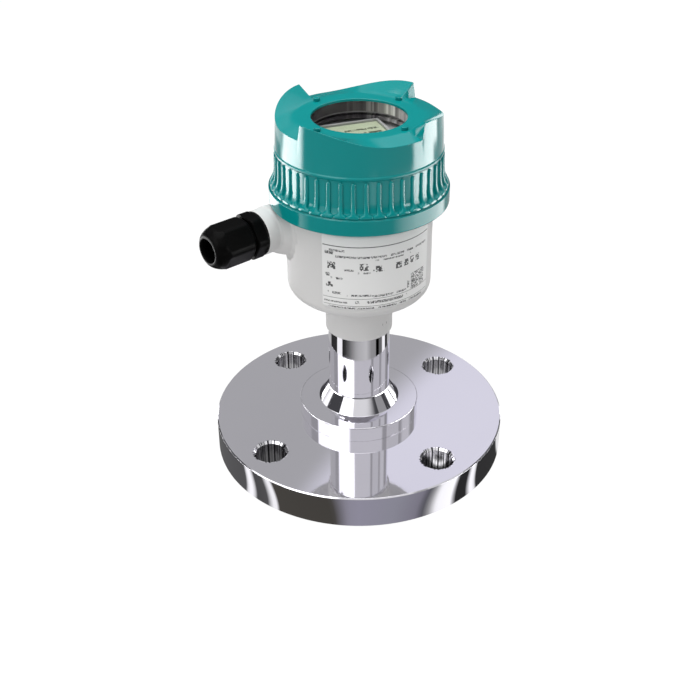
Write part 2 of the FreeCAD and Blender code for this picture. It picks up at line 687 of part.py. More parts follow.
plug_turned = turned("plug_turned", [
    ("0", "0"),
    (shank_radius, "0"),
    (shank_radius, d.gland_shank),
    (d.plug_head_radius, d.gland_shank),
    (d.plug_head_radius, f"{d.gland_shank} + {d.plug_head_height} - 0.8"),
    (f"{d.plug_head_radius} - 0.8", f"{d.gland_shank} + {d.plug_head_height}"),
    ("0", f"{d.gland_shank} + {d.plug_head_height}"),
])
plug_slot = box("plug_slot", f"{d.plug_head_radius} * 3", d.plug_slot_width,
                f"{d.plug_slot_depth} + 1", x=f"-1.5 * {d.plug_head_radius}",
                y=f"-{d.plug_slot_width} / 2",
                z=f"{d.gland_shank} + {d.plug_head_height} - {d.plug_slot_depth}")
keep("blanking_plug", along_entry(cut("plug_cut", plug_turned, [plug_slot]), 1,
                                  f"({gland_face} - {d.gland_shank})"))

# Lid: a turned shell with a ribbed grip band, then the swirl of four ramps on its top

lid_bore = f"({d.housing_radius} + {d.lid_thread_gap})"
ring_radius = f"({lid_bore} + {d.lid_ring_wall})"
band_radius = f"({lid_bore} + {d.lid_band_wall})"
upper_radius = f"({lid_bore} + {d.lid_upper_wall})"
top_radius = f"({lid_bore} + {d.lid_top_wall})"
lid_top = f"({lid_low} + {d.lid_height})"
rim_level = f"({lid_low} + {d.lid_rim_height})"
ceiling = f"({rim_level} - {d.window_lip} - {d.sleeve_height})"
boss_low = f"({ceiling} - {d.sleeve_foot} - {d.gasket_height} - {d.pane_height})"
band_top = f"({lid_low} + {d.lid_band_height})"
sleeve_outer = f"({d.window_radius} + 0.2 + {d.sleeve_wall})"
lid_blank = turned("lid_blank", [
    (lid_bore, lid_low),
    (ring_radius, lid_low),
    (ring_radius, f"{lid_low} + {d.lid_ring_height}"),
    (band_radius, f"{lid_low} + {d.lid_flare_height}", d.lid_flare_radius, -1),
    (band_radius, band_top),
    (upper_radius, f"{band_top} + {d.lid_step_height}"),
    (top_radius, f"{lid_low} + {d.lid_skirt_ceiling}"),
    (top_radius, lid_top),
    (d.lid_hub_radius, lid_top),
    (d.lid_hub_radius, f"{rim_level} + 0.2"),
    (d.window_radius, rim_level),
    (d.window_radius, f"{rim_level} - {d.window_lip}"),
    (f"{sleeve_outer} + {d.fit_gap}", f"{rim_level} - {d.window_lip}"),
    (f"{sleeve_outer} + {d.fit_gap}", ceiling),
    (f"{d.pane_radius} + 0.2", ceiling),
    (f"{d.pane_radius} + 0.2", boss_low),
    (d.window_boss_radius, boss_low),
    (d.window_boss_radius, f"{lid_low} + {d.lid_skirt_ceiling}"),
    (lid_bore, f"{lid_low} + {d.lid_skirt_ceiling}"),
    (lid_bore, f"{lid_low} + {d.lid_seal_low} + {d.lid_seal_groove}"),
    (f"{lid_bore} + {d.lid_seal_reach}", f"{lid_low} + {d.lid_seal_low} + {d.lid_seal_groove}"),
    (f"{lid_bore} + {d.lid_seal_reach}", f"{lid_low} + {d.lid_seal_low}"),
    (lid_bore, f"{lid_low} + {d.lid_seal_low}"),
])
dress(lid_blank, "Fillet", "lid_ring_edges",
      [(ring_radius, lid_low), (ring_radius, f"{lid_low} + {d.lid_ring_height}")],
      d.lid_ring_edge)

rib_low = f"({lid_low} + {d.rib_low})"
rib_high = f"({lid_low} + {d.rib_high})"
groove_reach = f"({ring_radius} + 1)"
groove = lid_blank.newObject("Sketcher::SketchObject", "rib_groove_shape")
groove.AttachmentSupport = [(origin_plane(lid_blank, "YZ_Plane"), "")]
groove.MapMode = "FlatFace"
groove.setExpression("AttachmentOffset.Base.z", groove_reach)
half_groove = f"({d.rib_groove_width} / 2)"
draw_outline(groove, [
    (half_groove, rib_low),
    (half_groove, f"{rib_high} - {half_groove}"),
    (f"-{half_groove}", f"{rib_high} - {half_groove}", half_groove + " * 1.001", 1),
    (f"-{half_groove}", rib_low),
])
rib_groove = lid_blank.newObject("PartDesign::Pocket", "rib_groove")
rib_groove.Profile = groove
rib_groove.setExpression("Length", f"{groove_reach} - {band_radius} + {d.rib_groove_depth}")
lid_blank.Tip = rib_groove
doc.recompute()
rib_grooves = lid_blank.newObject("PartDesign::PolarPattern", "rib_grooves")
rib_grooves.Originals = [rib_groove]
rib_grooves.Axis = (origin_plane(lid_blank, "Z_Axis"), [""])
rib_grooves.Angle = 360
rib_grooves.setExpression("Occurrences", d.rib_count)
lid_blank.Tip = rib_grooves
doc.recompute()


def ramp_space(ramp, count):
    """
    The space above one of the lid's ramps.
    A ramp falls as a smooth wave from the step at its start and then runs level.
    """
    span = 360.0 / count
    hub = value(d.lid_hub_radius)
    far = value(top_radius) + 5
    hub_level = value(rim_level) + 0.2
    low_level = value(lid_low) + value(d.lid_low_height)
    rise = value(d.lid_step_rise)
    fall = min(value(d.swirl_fall), span)
    steps = 12
    inner_points, outer_points = [], []
    for step in range(steps + 1):
        turn = span * step / steps
        angle = math.radians(value(d.swirl_start) + ramp * span + turn)
        wave = (1 + math.cos(math.pi * min(turn / fall, 1.0))) / 2
        slope = (low_level + rise * wave - hub_level) / (value(top_radius) - hub)
        direction = V(math.cos(angle), math.sin(angle), 0)
        inner_points.append(direction * (hub - 0.001) + V(0, 0, hub_level))
        outer_points.append(direction * far + V(0, 0, hub_level + slope * (far - hub)))
    edges = []
    for points in (inner_points, outer_points):
        curve = Part.BSplineCurve()
        curve.interpolate(points)
        edges.append(curve.toShape())
    return Part.makeRuledSurface(edges[0], edges[1]).extrude(V(0, 0, rise * 3))


swirl_count = int(value(d.swirl_count))
lid_swirled = doc.addObject("Part::Feature", "lid_swirled")
lid_swirled.Shape = lid_blank.Shape.cut([ramp_space(index, swirl_count)
                                         for index in range(swirl_count)])

screw_holes = []
for index in range(int(value(d.retainer_screw_count))):
    angle = around(index, int(value(d.retainer_screw_count)), 45)
    screw_holes.append(cylinder(
        f"lid_screw_hole_{index}", d.small_screw_radius + f" + {d.fit_gap}",
        f"{d.small_screw_length} + 0.5",
        x=f"{d.screw_circle_radius} * {math.cos(angle):.6f}",
        y=f"{d.screw_circle_radius} * {math.sin(angle):.6f}",
        z=f"{boss_low} - {d.retainer_height}"))
keep("lid_shell", cut("lid_moulding", lid_swirled, screw_holes))

seal_ring_radius = f"({lid_bore} + {d.lid_seal_radius})"
keep("lid_seal", ring_cord("lid_seal_cord", seal_ring_radius, d.lid_seal_radius,
                           f"{lid_low} + {d.lid_seal_low} + {d.lid_seal_groove} / 2"))

# Window stack under the lid's rim: bright sleeve, gasket, glass, retaining ring and screws

sleeve = turned("sleeve_turned", [
    (f"{d.window_radius} + 0.2", f"{ceiling} - {d.sleeve_foot}"),
    (d.pane_radius, f"{ceiling} - {d.sleeve_foot}"),
    (d.pane_radius, ceiling),
    (sleeve_outer, ceiling),
    (sleeve_outer, f"{rim_level} - {d.window_lip}"),
    (f"{d.window_radius} + 0.2", f"{rim_level} - {d.window_lip}"),
])
keep("window_sleeve", sleeve)
gasket_top = f"({ceiling} - {d.sleeve_foot})"
gasket_low = f"({gasket_top} - {d.gasket_height})"
gasket = turned("gasket_cut", [
    (f"{d.window_radius} + 0.8", gasket_low),
    (d.pane_radius, gasket_low),
    (d.pane_radius, gasket_top),
    (f"{d.window_radius} + 0.8", gasket_top),
])
keep("window_gasket", gasket)
keep("window_pane", cylinder("pane_glass", d.pane_radius, d.pane_height, z=boss_low))
retainer_low = f"({boss_low} - {d.retainer_height})"
retainer_ring = turned("retainer_turned", [
    (d.retainer_opening, retainer_low),
    (d.retainer_radius, retainer_low),
    (d.retainer_radius, boss_low),
    (d.retainer_opening, boss_low),
])
retainer_holes = []
retainer_screws = []
for index in range(int(value(d.retainer_screw_count))):
    angle = around(index, int(value(d.retainer_screw_count)), 45)
    x = f"{d.screw_circle_radius} * {math.cos(angle):.6f}"
    y = f"{d.screw_circle_radius} * {math.sin(angle):.6f}"
    retainer_holes.append(cylinder(f"retainer_hole_{index}",
                                   f"{d.small_screw_radius} + {d.fit_gap}",
                                   f"{d.retainer_height} * 3", x=x, y=y,
                                   z=f"{retainer_low} - {d.retainer_height}"))
    shank = cylinder(f"retainer_screw_shank_{index}", d.small_screw_radius,
                     d.small_screw_length, x=x, y=y, z=retainer_low)
    head = cylinder(f"retainer_screw_head_{index}", d.small_screw_head,
                    d.small_screw_head_height, x=x, y=y,
                    z=f"{retainer_low} - {d.small_screw_head_height}")
    retainer_screws.append(joined(f"retainer_screw_{index}", [shank, head]))
keep("window_retainer", cut("retainer_drilled", retainer_ring, retainer_holes))
keep("retainer_screws", group("retainer_screw_set", retainer_screws))

# Electronics can: a moulded cup that stands on the housing floor and is closed by a cover

can_radius = f"({cavity_radius} - {d.insert_clearance})"
can_floor = f"({cavity_floor} + {d.can_floor_height})"
can_top = f"({cavity_floor} + {d.can_height})"
board_seat = f"({cavity_floor} + {d.board_level})"
can_inner = f"({can_radius} - {d.can_wall})"
can = turned("can_moulding", [
    (d.can_foot_opening, cavity_floor),
    (f"{can_radius} - {d.can_corner}", cavity_floor),
    (can_radius, f"{cavity_floor} + {d.can_corner}"),
    (can_radius, can_top),
    (can_inner, can_top),
    (can_inner, board_seat),
    (f"{can_inner} - 1.5", board_seat),
    (f"{can_inner} - 1.5", can_floor),
    (f"{horn_tip} + {d.can_waveguide_gap}", can_floor),
    (f"{horn_tip} + {d.can_waveguide_gap}", f"{can_floor} - 1.5"),
    (d.can_foot_opening, f"{can_floor} - 1.5"),
])
keep("electronics_can", can)
keep("radar_module", cylinder("radar_module_case", d.radar_radius, d.radar_height, z=can_floor))
keep("main_board", cylinder("main_board_disc", f"{can_inner} - 0.1", d.board_height, z=board_seat))
board_top = f"({board_seat} + {d.board_height})"
components = [
    cylinder("capacitor_left", "4", "5.5", x="-14", y="8", z=board_top),
    cylinder("capacitor_right", "4", "5.5", x="-14", y="-4", z=board_top),
    box("processor", "11", "11", "1.6", x="0", y="-4", z=board_top),
    box("power_choke", "8", "9", "5", x="-3", y="10", z=board_top),
    box("pin_header", "3", "14", "5", x="16", y="-6", z=board_top),
]
keep("board_components", group("board_component_set", components))
cover_top = f"({can_top} + {d.cover_height})"
keep("module_cover", cylinder("module_cover_disc", can_radius, d.cover_height, z=can_top))

# Terminal block with screw wells on top and wire holes that face the cable entries

block_front = f"(-{d.terminal_back})"
block_top = f"({cover_top} + {d.terminal_height})"
block = box("terminal_blank", d.terminal_length, d.terminal_width, d.terminal_height,
            x=f"-{d.terminal_length} / 2", y=block_front, z=cover_top)
corner_keep = cylinder("terminal_corner_rounding", f"{cavity_radius} - 1",
                       f"{d.terminal_height} + 2", z=f"{cover_top} - 1")
wells, terminal_screws = [], []
pole_count = int(value(d.pole_count))
for index in range(pole_count):
    x = f"({d.pole_pitch} * {index - (pole_count - 1) / 2})"
    y = f"({block_front} + {d.terminal_width} / 2)"
    wells.append(cylinder(f"screw_well_{index}", f"{d.pole_screw_radius} + 0.4",
                          f"{d.pole_well_depth} + 1", x=x, y=y,
                          z=f"{block_top} - {d.pole_well_depth}"))
    wire_hole = cylinder(f"wire_hole_{index}", d.wire_hole_radius, f"{d.wire_hole_depth} + 1")
    place(wire_hole, x=x, y=f"{block_front} + {d.terminal_width} + 1",
          z=f"{cover_top} + {d.wire_hole_level}", turn=90, about=V(1, 0, 0))
    wells.append(wire_hole)
    screw = cylinder(f"terminal_screw_blank_{index}", d.pole_screw_radius, d.pole_screw_height,
                     x=x, y=y, z=f"{block_top} - {d.pole_well_depth}")
    driver_slot = box(f"driver_slot_{index}", f"{d.pole_screw_radius} * 2 + 1", "0.7", "1",
                      x=f"{x} - {d.pole_screw_radius} - 0.5", y=f"{y} - 0.35",
                      z=f"{block_top} - {d.pole_well_depth} + {d.pole_screw_height} - 0.7")
    terminal_screws.append(cut(f"terminal_screw_{index}", screw, [driver_slot]))
keep("terminal_block", cut("terminal_moulding",
                           common("terminal_trimmed", block, corner_keep), wells))
keep("terminal_screws", group("terminal_screw_set", terminal_screws))

# Earth stud beside the cable entry
earth_post = cylinder("earth_post", d.earth_post_radius, d.earth_post_height,
                      x=d.earth_post_along, y=d.earth_post_across, z=cover_top)
keep("earth_stud", earth_post)
earth_top = f"({cover_top} + {d.earth_post_height})"
earth_head = cylinder("earth_head", f"{d.earth_post_radius} - 0.4", "1.8",
                      x=d.earth_post_along, y=d.earth_post_across, z=earth_top)
earth_slot = box("earth_slot", f"{d.earth_post_radius} * 3", "0.8", "1.5",
                 x=f"{d.earth_post_along} - {d.earth_post_radius} * 1.5",
                 y=f"{d.earth_post_across} - 0.4", z=f"{earth_top} + 1")
keep("earth_screw", cut("earth_screw_cut", earth_head, [earth_slot]))

# Display carrier: a ring on three posts that stand on the module cover

post_top = f"({housing_rim} - {d.carrier_drop})"
carrier_inner = f"({can_radius} - {d.carrier_width})"
carrier_top = f"({post_top} + {d.carrier_height})"
carrier_parts = [turned("carrier_ring", [
    (carrier_inner, post_top),
    (can_radius, post_top),
    (can_radius, carrier_top),
    (carrier_inner, carrier_top),
])]
carrier_recesses, carrier_screws = [], []
for index in range(3):
    angle = around(index, 3, 90)
    x = f"{d.post_circle_radius} * {math.cos(angle):.6f}"
    y = f"{d.post_circle_radius} * {math.sin(angle):.6f}"
    carrier_parts.append(cylinder(f"carrier_post_{index}", d.post_radius,
                                  f"{post_top} - {cover_top} + 0.5", x=x, y=y, z=cover_top))
    carrier_recesses.append(cylinder(f"carrier_recess_{index}", f"{d.small_screw_head} + 0.2",
                                     f"{d.small_screw_head_height} + 1.1", x=x, y=y,
                                     z=f"{carrier_top} - {d.small_screw_head_height} - 0.1"))
    carrier_recesses.append(cylinder(f"carrier_screw_hole_{index}",
                                     f"{d.small_screw_radius} + {d.fit_gap}",
                                     f"{d.small_screw_length} + 1.2", x=x, y=y,
                                     z=f"{carrier_top} - {d.small_screw_length} - 1.2"))
    shank = cylinder(f"carrier_screw_shank_{index}", d.small_screw_radius,
                     f"{d.small_screw_length}", x=x, y=y,
                     z=f"{carrier_top} - {d.small_screw_length} - 0.5")
    head = cylinder(f"carrier_screw_head_{index}", d.small_screw_head,
                    d.small_screw_head_height, x=x, y=y,
                    z=f"{carrier_top} - {d.small_screw_head_height} - 0.1")
    carrier_screws.append(joined(f"carrier_screw_{index}", [shank, head]))
keep("display_carrier", cut("carrier_moulding", joined("carrier_blank", carrier_parts),
                            carrier_recesses))
keep("carrier_screws", group("carrier_screw_set", carrier_screws))

# Display module: case, board, frame with a hood round the screen, screen and cover glass

case_top = f"({carrier_top} + {d.display_case_height})"
case_inner = f"({d.display_radius} - {d.display_wall})"
board_seat_level = f"({case_top} - {d.display_board_height} - 0.6)"
case = turned("case_moulding", [
    ("0", carrier_top),
    (d.display_radius, carrier_top),
    (d.display_radius, case_top),
    (case_inner, case_top),
    (case_inner, board_seat_level),
    (f"{case_inner} - {d.display_ledge}", board_seat_level),
    (f"{case_inner} - {d.display_ledge}", f"{carrier_top} + {d.display_wall}"),
    ("0", f"{carrier_top} + {d.display_wall}"),
])
keep("display_case", case)
keep("display_board", cylinder("display_board_disc", f"{case_inner} - 0.1",
                               d.display_board_height, z=board_seat_level))
display_board_top = f"({board_seat_level} + {d.display_board_height})"
frame_top = f"({case_top} + {d.frame_height})"
hood_top = f"({frame_top} + {d.hood_height})"
glass_top = f"({hood_top} - {d.cover_glass_drop})"
glass_low = f"({glass_top} - {d.cover_glass})"


def turned_with_display(item):
    """Turns a straight piece to the angle at which the display sits in the housing."""
    return place(item, turn=d.display_angle)


plate = turned("frame_plate_turned", [
    ("0", f"{frame_top} - {d.frame_plate}"),
    (case_inner, f"{frame_top} - {d.frame_plate}"),
    (case_inner, case_top),
    (d.display_radius, case_top),
    (d.display_radius, frame_top),
    ("0", frame_top),
])
screen_height = f"({d.screen_high} - {d.screen_low})"
hood = box("screen_hood", f"{d.screen_width} + 2 * {d.hood_wall}",
           f"{screen_height} + 2 * {d.hood_wall}", f"{d.hood_height} + {d.frame_plate} / 2",
           x=f"-{d.screen_width} / 2 - {d.hood_wall}", y=f"{d.screen_low} - {d.hood_wall}",
           z=f"{frame_top} - {d.frame_plate} / 2")
opening = box("screen_opening", d.screen_width, screen_height,
              f"{d.hood_height} + {d.frame_plate} + 4", x=f"-{d.screen_width} / 2",
              y=d.screen_low, z=f"{frame_top} - {d.frame_plate} - 2")
key_names = ["key_escape", "key_minus", "key_plus", "key_enter"]
key_holes, keys = [], []
key_flange_low = f"({frame_top} - {d.frame_plate} - {d.key_flange_height})"
for index, key_name in enumerate(key_names):
    x = f"({d.key_pitch} * {index - (len(key_names) - 1) / 2})"
    key_holes.append(cylinder(f"{key_name}_hole", f"{d.key_radius} + {d.key_gap}",
                              f"{d.frame_plate} * 3", x=x, y=d.key_row,
                              z=f"{frame_top} - {d.frame_plate} * 2"))
    cap = cylinder(f"{key_name}_cap", d.key_radius,
                   f"{d.frame_plate} + {d.key_rise} + {d.key_flange_height}", x=x,
                   y=d.key_row, z=key_flange_low)
    rim = cylinder(f"{key_name}_rim", f"{d.key_radius} + {d.key_flange}", d.key_flange_height,
                   x=x, y=d.key_row, z=key_flange_low)
    keys.append((key_name, joined(f"{key_name}_moulding", [cap, rim])))
frame_solid = cut("frame_moulding", joined("frame_with_hood", [plate, hood]),
                  [opening] + key_holes)
keep("display_frame", turned_with_display(frame_solid))
panel = box("screen_panel", f"{d.screen_width} - 0.2", f"{screen_height} - 0.2",
            f"{glass_low} - {display_board_top}", x=f"-{d.screen_width} / 2 + 0.1",
            y=f"{d.screen_low} + 0.1", z=display_board_top)
keep("lcd_panel", group("lcd_panel_set", [panel]))
glass = box("screen_glass", f"{d.screen_width} - 0.2", f"{screen_height} - 0.2", d.cover_glass,
            x=f"-{d.screen_width} / 2 + 0.1", y=f"{d.screen_low} + 0.1", z=glass_low)
keep("lcd_cover", group("lcd_cover_set", [glass]))
turned_with_display(exported["lcd_panel"])
turned_with_display(exported["lcd_cover"])
for key_name, key in keys:
    keep(key_name, turned_with_display(key))

# Switch domes that the keys press, on the display board
domes = [cylinder(f"dome_{index}", "1.6",
                  f"{key_flange_low} - {display_board_top} - {d.key_travel}",
                  x=f"({d.key_pitch} * {index - (len(key_names) - 1) / 2})", y=d.key_row,
                  z=display_board_top)
         for index in range(len(key_names))]
keep("switch_domes", turned_with_display(group("switch_dome_set", domes)))

doc.recompute()

# Checks of every object, then one STEP file for each sub-part

failed = [item.Name for item in doc.Objects
          if "Invalid" in item.State or "Error" in item.State]
if failed:
    raise RuntimeError("objects that did not build: " + ", ".join(failed))
for node, item in exported.items():
    shape = item.Shape
    if shape.isNull() or not shape.isValid() or not shape.Solids:
        raise RuntimeError("sub-part has no valid solid: " + node)

os.makedirs("parts", exist_ok=True)
for node, item in exported.items():
    item.Shape.exportStep(os.path.join("parts", node + ".step"))
    print(f"{node}: {len(item.Shape.Solids)} solid, {item.Shape.Volume:.1f} mm3")
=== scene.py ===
import math

import bmesh
import bpy
import numpy as np
from mathutils import Matrix, Vector


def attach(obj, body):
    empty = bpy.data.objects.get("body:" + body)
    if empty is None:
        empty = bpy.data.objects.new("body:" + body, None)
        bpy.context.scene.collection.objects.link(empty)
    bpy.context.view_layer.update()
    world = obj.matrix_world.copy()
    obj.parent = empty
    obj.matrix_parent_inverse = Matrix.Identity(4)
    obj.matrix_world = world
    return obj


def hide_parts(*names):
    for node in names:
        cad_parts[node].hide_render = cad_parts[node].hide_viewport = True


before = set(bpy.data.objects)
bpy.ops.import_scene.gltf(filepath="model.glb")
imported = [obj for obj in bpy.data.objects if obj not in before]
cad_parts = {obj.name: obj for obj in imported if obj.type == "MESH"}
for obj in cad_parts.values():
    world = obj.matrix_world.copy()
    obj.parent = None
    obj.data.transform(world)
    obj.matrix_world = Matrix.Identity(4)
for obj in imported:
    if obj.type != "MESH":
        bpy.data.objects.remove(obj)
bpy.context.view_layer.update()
MM = 0.001


def placed(name, data):
    """A new object in the scene."""
    made = bpy.data.objects.new(name, data)
    bpy.context.scene.collection.objects.link(made)
    return made


# Camera: stands in front of the nameplate, a little above the lid, and looks down at it.
# The lens and the small shift give the photograph's framing of the square picture.

look_turn = math.radians(-41.3)
look_down = math.radians(30.2)
look_roll = math.radians(0.05)
camera_back, camera_up = 435.07, 330.56
to_camera = Matrix.Rotation(look_turn, 3, "Z")
stand = to_camera @ Vector((0, -camera_back, camera_up)) * MM
ahead = Vector((0, math.cos(look_down), -math.sin(look_down)))
right = Vector((1, 0, 0))
above = right.cross(ahead)
rolled_right = right * math.cos(look_roll) + above * math.sin(look_roll)
rolled_above = above * math.cos(look_roll) - right * math.sin(look_roll)
axes = Matrix((rolled_right, rolled_above, -ahead)).transposed()
camera_data = bpy.data.cameras.new("camera")
camera_data.sensor_fit = "HORIZONTAL"
camera_data.lens = 55.21
camera_data.shift_x, camera_data.shift_y = -0.0130, -0.0724
camera_data.clip_start = 0.01
camera = placed("camera", camera_data)
camera.matrix_world = Matrix.Translation(stand) @ (to_camera @ axes).to_4x4()
bpy.context.scene.camera = camera
bpy.context.scene.view_settings.view_transform = "Standard"


# Studio: a white sweep of floor under soft light from above and from both sides.
# Polished metal sees dark and bright cards that stand around the table, out of the picture.

def add(tree, kind, inputs=None, **settings):
    """Adds a node; an input is a plain value or the socket that feeds it."""
    made = tree.nodes.new(kind)
    for name, setting in settings.items():
        setattr(made, name, setting)
    for key, source in (inputs or {}).items():
        if isinstance(source, bpy.types.NodeSocket):
            tree.links.new(source, made.inputs[key])
        else:
            made.inputs[key].default_value = source
    return made


def fed(kind, inputs, **settings):
    """The first output of a node in the tree that its socket inputs belong to."""
    tree = next(source.id_data for source in inputs.values()
                if isinstance(source, bpy.types.NodeSocket))
    return add(tree, kind, inputs, **settings).outputs[0]


def calc(operation, *values):
    """The output of one math node."""
    return fed("ShaderNodeMath", dict(enumerate(values)), operation=operation)


def opaque(colour):
    """A colour with full alpha; a plain number is a grey."""
    return (*(colour if isinstance(colour, tuple) else (colour,) * 3), 1.0)


def stepped(position, stops):
    """A colour ramp from a list of (position, colour)."""
    colours = fed("ShaderNodeValToRGB", {"Fac": position})
    elements = colours.node.color_ramp.elements
    while len(elements) < len(stops):
        elements.new(1.0)
    for element, (place, colour) in zip(elements, stops):
        element.position = place
        element.color = opaque(colour)
    return colours


def blend(share, first, second):
    """Goes from one colour to another while the share goes from 0 to 1."""
    first, second = (source if isinstance(source, bpy.types.NodeSocket) else opaque(source)
                     for source in (first, second))
    return add(share.id_data, "ShaderNodeMix", {"Factor": share, "A": first, "B": second},
               data_type="RGBA").outputs["Result"]


def climb(value, low, high, easing="SMOOTHSTEP"):
    """Goes from 0 to 1 while a value goes from low to high."""
    return fed("ShaderNodeMapRange", {"Value": value, 1: low, 2: high},
               interpolation_type=easing)


def split(vector):
    """The X, Y and Z of a vector."""
    return fed("ShaderNodeSeparateXYZ", {0: vector}).node.outputs


def turned(vector, angle):
    """The X, Y and Z of a vector that is turned about Z."""
    return split(fed("ShaderNodeVectorRotate", {"Vector": vector, "Angle": angle},
                     rotation_type="Z_AXIS"))


def object_place(tree):
    """A point's place in the object's own axes."""
    return add(tree, "ShaderNodeTexCoord").outputs["Object"]


def from_axis(parts):
    """The distance from the Z axis."""
    squares = [calc("POWER", parts[axis], 2.0) for axis in "XY"]
    return calc("SQRT", calc("ADD", *squares))


def choose(share, first, second):
    """Goes from one shader to another while the share goes from 0 to 1."""
    return fed("ShaderNodeMixShader", {0: share, 1: first, 2: second})


def bearing(vector):
    """
    The bearing of a point or direction, from 0 to 1, with 0.5 straight behind the object.
    The parts of the vector as the camera sees it come with it.
    """
    parts = turned(vector, -look_turn)
    angle = calc("ARCTAN2", parts["X"], parts["Y"])
    return calc("MULTIPLY_ADD", angle, 1 / math.tau, 0.5), parts


world = bpy.data.worlds.new("studio")
bpy.context.scene.world = world
world.use_nodes = True
sky = world.node_tree
sky.nodes.clear()
sky_bearing, sky_parts = bearing(add(sky, "ShaderNodeTexCoord").outputs["Generated"])
sky_height = sky_parts["Z"]
walls = stepped(sky_bearing, [
    (0.0, 0.9), (0.045, 0.9), (0.055, 2.0), (0.24, 2.0), (0.25, 0.5), (0.30, 0.5),
    (0.31, 0.65), (0.44, 0.6), (0.47, (0.49, 0.49, 0.5)), (0.55, (0.49, 0.49, 0.5)),
    (0.62, 0.45), (0.65, 0.42), (0.68, 0.85), (0.73, 0.85), (0.75, 0.5), (0.865, 0.5),
    (0.875, 0.9), (1.0, 0.9)])
side_cards = stepped(sky_bearing, [
    (0.0, 0.07), (0.17, 0.07), (0.18, 9.0), (0.25, 8.0), (0.27, 2.0), (0.33, 1.0), (0.34, 0.07),
    (0.67, 0.07), (0.68, 2.0), (0.73, 3.0), (0.75, 12.0), (0.83, 12.0), (0.84, 0.07),
    (1.0, 0.07)])
card_slant, card_left, card_right = 0.23, (0.635, 0.644), 0.60
slanted = calc("MULTIPLY_ADD", sky_height, card_slant, sky_bearing)
slanted_card = calc("MULTIPLY", climb(slanted, *card_left),
                    calc("LESS_THAN", sky_bearing, card_right))
room = blend(slanted_card, walls, (0.89, 0.88, 0.98))
mirrored = side_cards
for low, high, colour in ((0.16, 0.2, (0.07, 0.07, 0.075)), (0.42, 0.5, room),
                          (0.75, 0.9, (0.8, 0.8, 0.84))):
    mirrored = blend(climb(sky_height, low, high), mirrored, colour)
glow = fed("ShaderNodeMapRange", {"Value": sky_height, 1: -0.1, 2: 0.9, 3: 0.42, 4: 0.75})
sky_rays = add(sky, "ShaderNodeLightPath").outputs
seen_straight = calc("MAXIMUM", sky_rays["Is Camera Ray"], sky_rays["Is Transmission Ray"])
shown = blend(seen_straight, blend(sky_rays["Is Glossy Ray"], glow, mirrored), 1.0)
add(sky, "ShaderNodeOutputWorld", {"Surface": fed("ShaderNodeBackground", {"Color": shown})})

floor_mesh = bpy.data.meshes.new("floor")
floor_reach = 4.0
floor_mesh.from_pydata([(x * floor_reach, y * floor_reach, 0)
                        for x, y in ((-1, -1), (1, -1), (1, 1), (-1, 1))], [], [(0, 1, 2, 3)])
floor = placed("floor", floor_mesh)
floor.location.z = -0.0002
floor_material = bpy.data.materials.new("pale_floor")
floor_material.use_nodes = True
ground = floor_material.node_tree
ground.nodes.clear()
flange_radius, flange_top = 70.0, 16.0
ground_bearing, ground_parts = bearing(object_place(ground))
across = from_axis(ground_parts)

# A card close to the rim is seen at the bearing of the rim that mirrors it, not at its own.
rim_lean = 1.4 / math.tau
past_rim = calc("SUBTRACT", calc("DIVIDE", across, flange_radius * MM), 1.0)
sideways = calc("SINE", calc("MULTIPLY", ground_bearing, math.tau))
rim_shift = calc("MULTIPLY", calc("MULTIPLY", past_rim, rim_lean), sideways)
rim_bearing = calc("SUBTRACT", ground_bearing, rim_shift)
cards = stepped(rim_bearing, [
    (0.0, (0.36, 0.35, 0.42)), (0.010, (0.34, 0.33, 0.39)), (0.024, (0.075, 0.07, 0.06)),
    (0.0860, (0.08, 0.075, 0.065)), (0.0885, 1.2), (0.0965, 1.2), (0.099, 0.11),
    (0.1195, 0.09), (0.122, 1.3), (0.132, 1.3), (0.135, 0.11), (0.24, 0.13), (0.30, 0.4),
    (0.70, 0.5), (0.785, 0.9), (0.792, 0.04), (0.857, 0.04), (0.860, 1.3), (0.869, 1.3),
    (0.873, 0.03), (0.893, 0.03), (0.897, 1.4), (0.917, 1.3), (0.927, 0.35),
    (0.934, (0.12, 0.12, 0.14)), (0.942, (0.27, 0.26, 0.31)), (0.966, (0.33, 0.33, 0.38)),
    (1.0, (0.36, 0.35, 0.42))])
neck_cards = [
    (0.0, 0.56), (0.03, 0.48), (0.055, 0.36), (0.10, 0.15), (0.135, 0.05), (0.168, 0.02),
    (0.174, 1.2), (0.232, 1.2), (0.238, 0.04), (0.33, 0.03), (0.345, 0.55), (0.60, 0.55),
    (0.655, 0.5), (0.66, 0.03), (0.70, 0.03), (0.705, 1.2), (0.745, 1.2), (0.752, 0.2),
    (0.79, 0.15), (0.795, 0.0), (0.825, 0.0), (0.83, 0.33), (0.88, 0.37), (0.93, 0.66),
    (1.0, 0.56)]
ring_cards = [
    (0.0, 0.25), (0.17, 0.3), (0.20, 3.0), (0.26, 7.0), (0.31, 8.0), (0.39, 6.0), (0.42, 1.5),
    (0.5, 0.5), (0.63, 0.5), (0.66, 5.0), (0.80, 8.0), (0.85, 5.0), (0.89, 0.6), (1.0, 0.25)]
lid_cards = [
    (0.0, 0.5), (0.06, 0.4), (0.10, 0.8), (0.16, 0.5), (0.212, 0.8), (0.228, 18.0),
    (0.27, 17.0), (0.325, 12.0), (0.345, 3.0), (0.36, 0.3), (0.45, 1.0), (0.56, 1.0),
    (0.675, 0.8), (0.69, 11.0), (0.72, 15.0), (0.78, 17.0), (0.80, 9.0), (0.81, 2.0),
    (0.87, 1.8), (0.93, 0.7), (0.94, 2.6), (0.955, 2.6), (0.965, 0.8), (1.0, 0.5)]
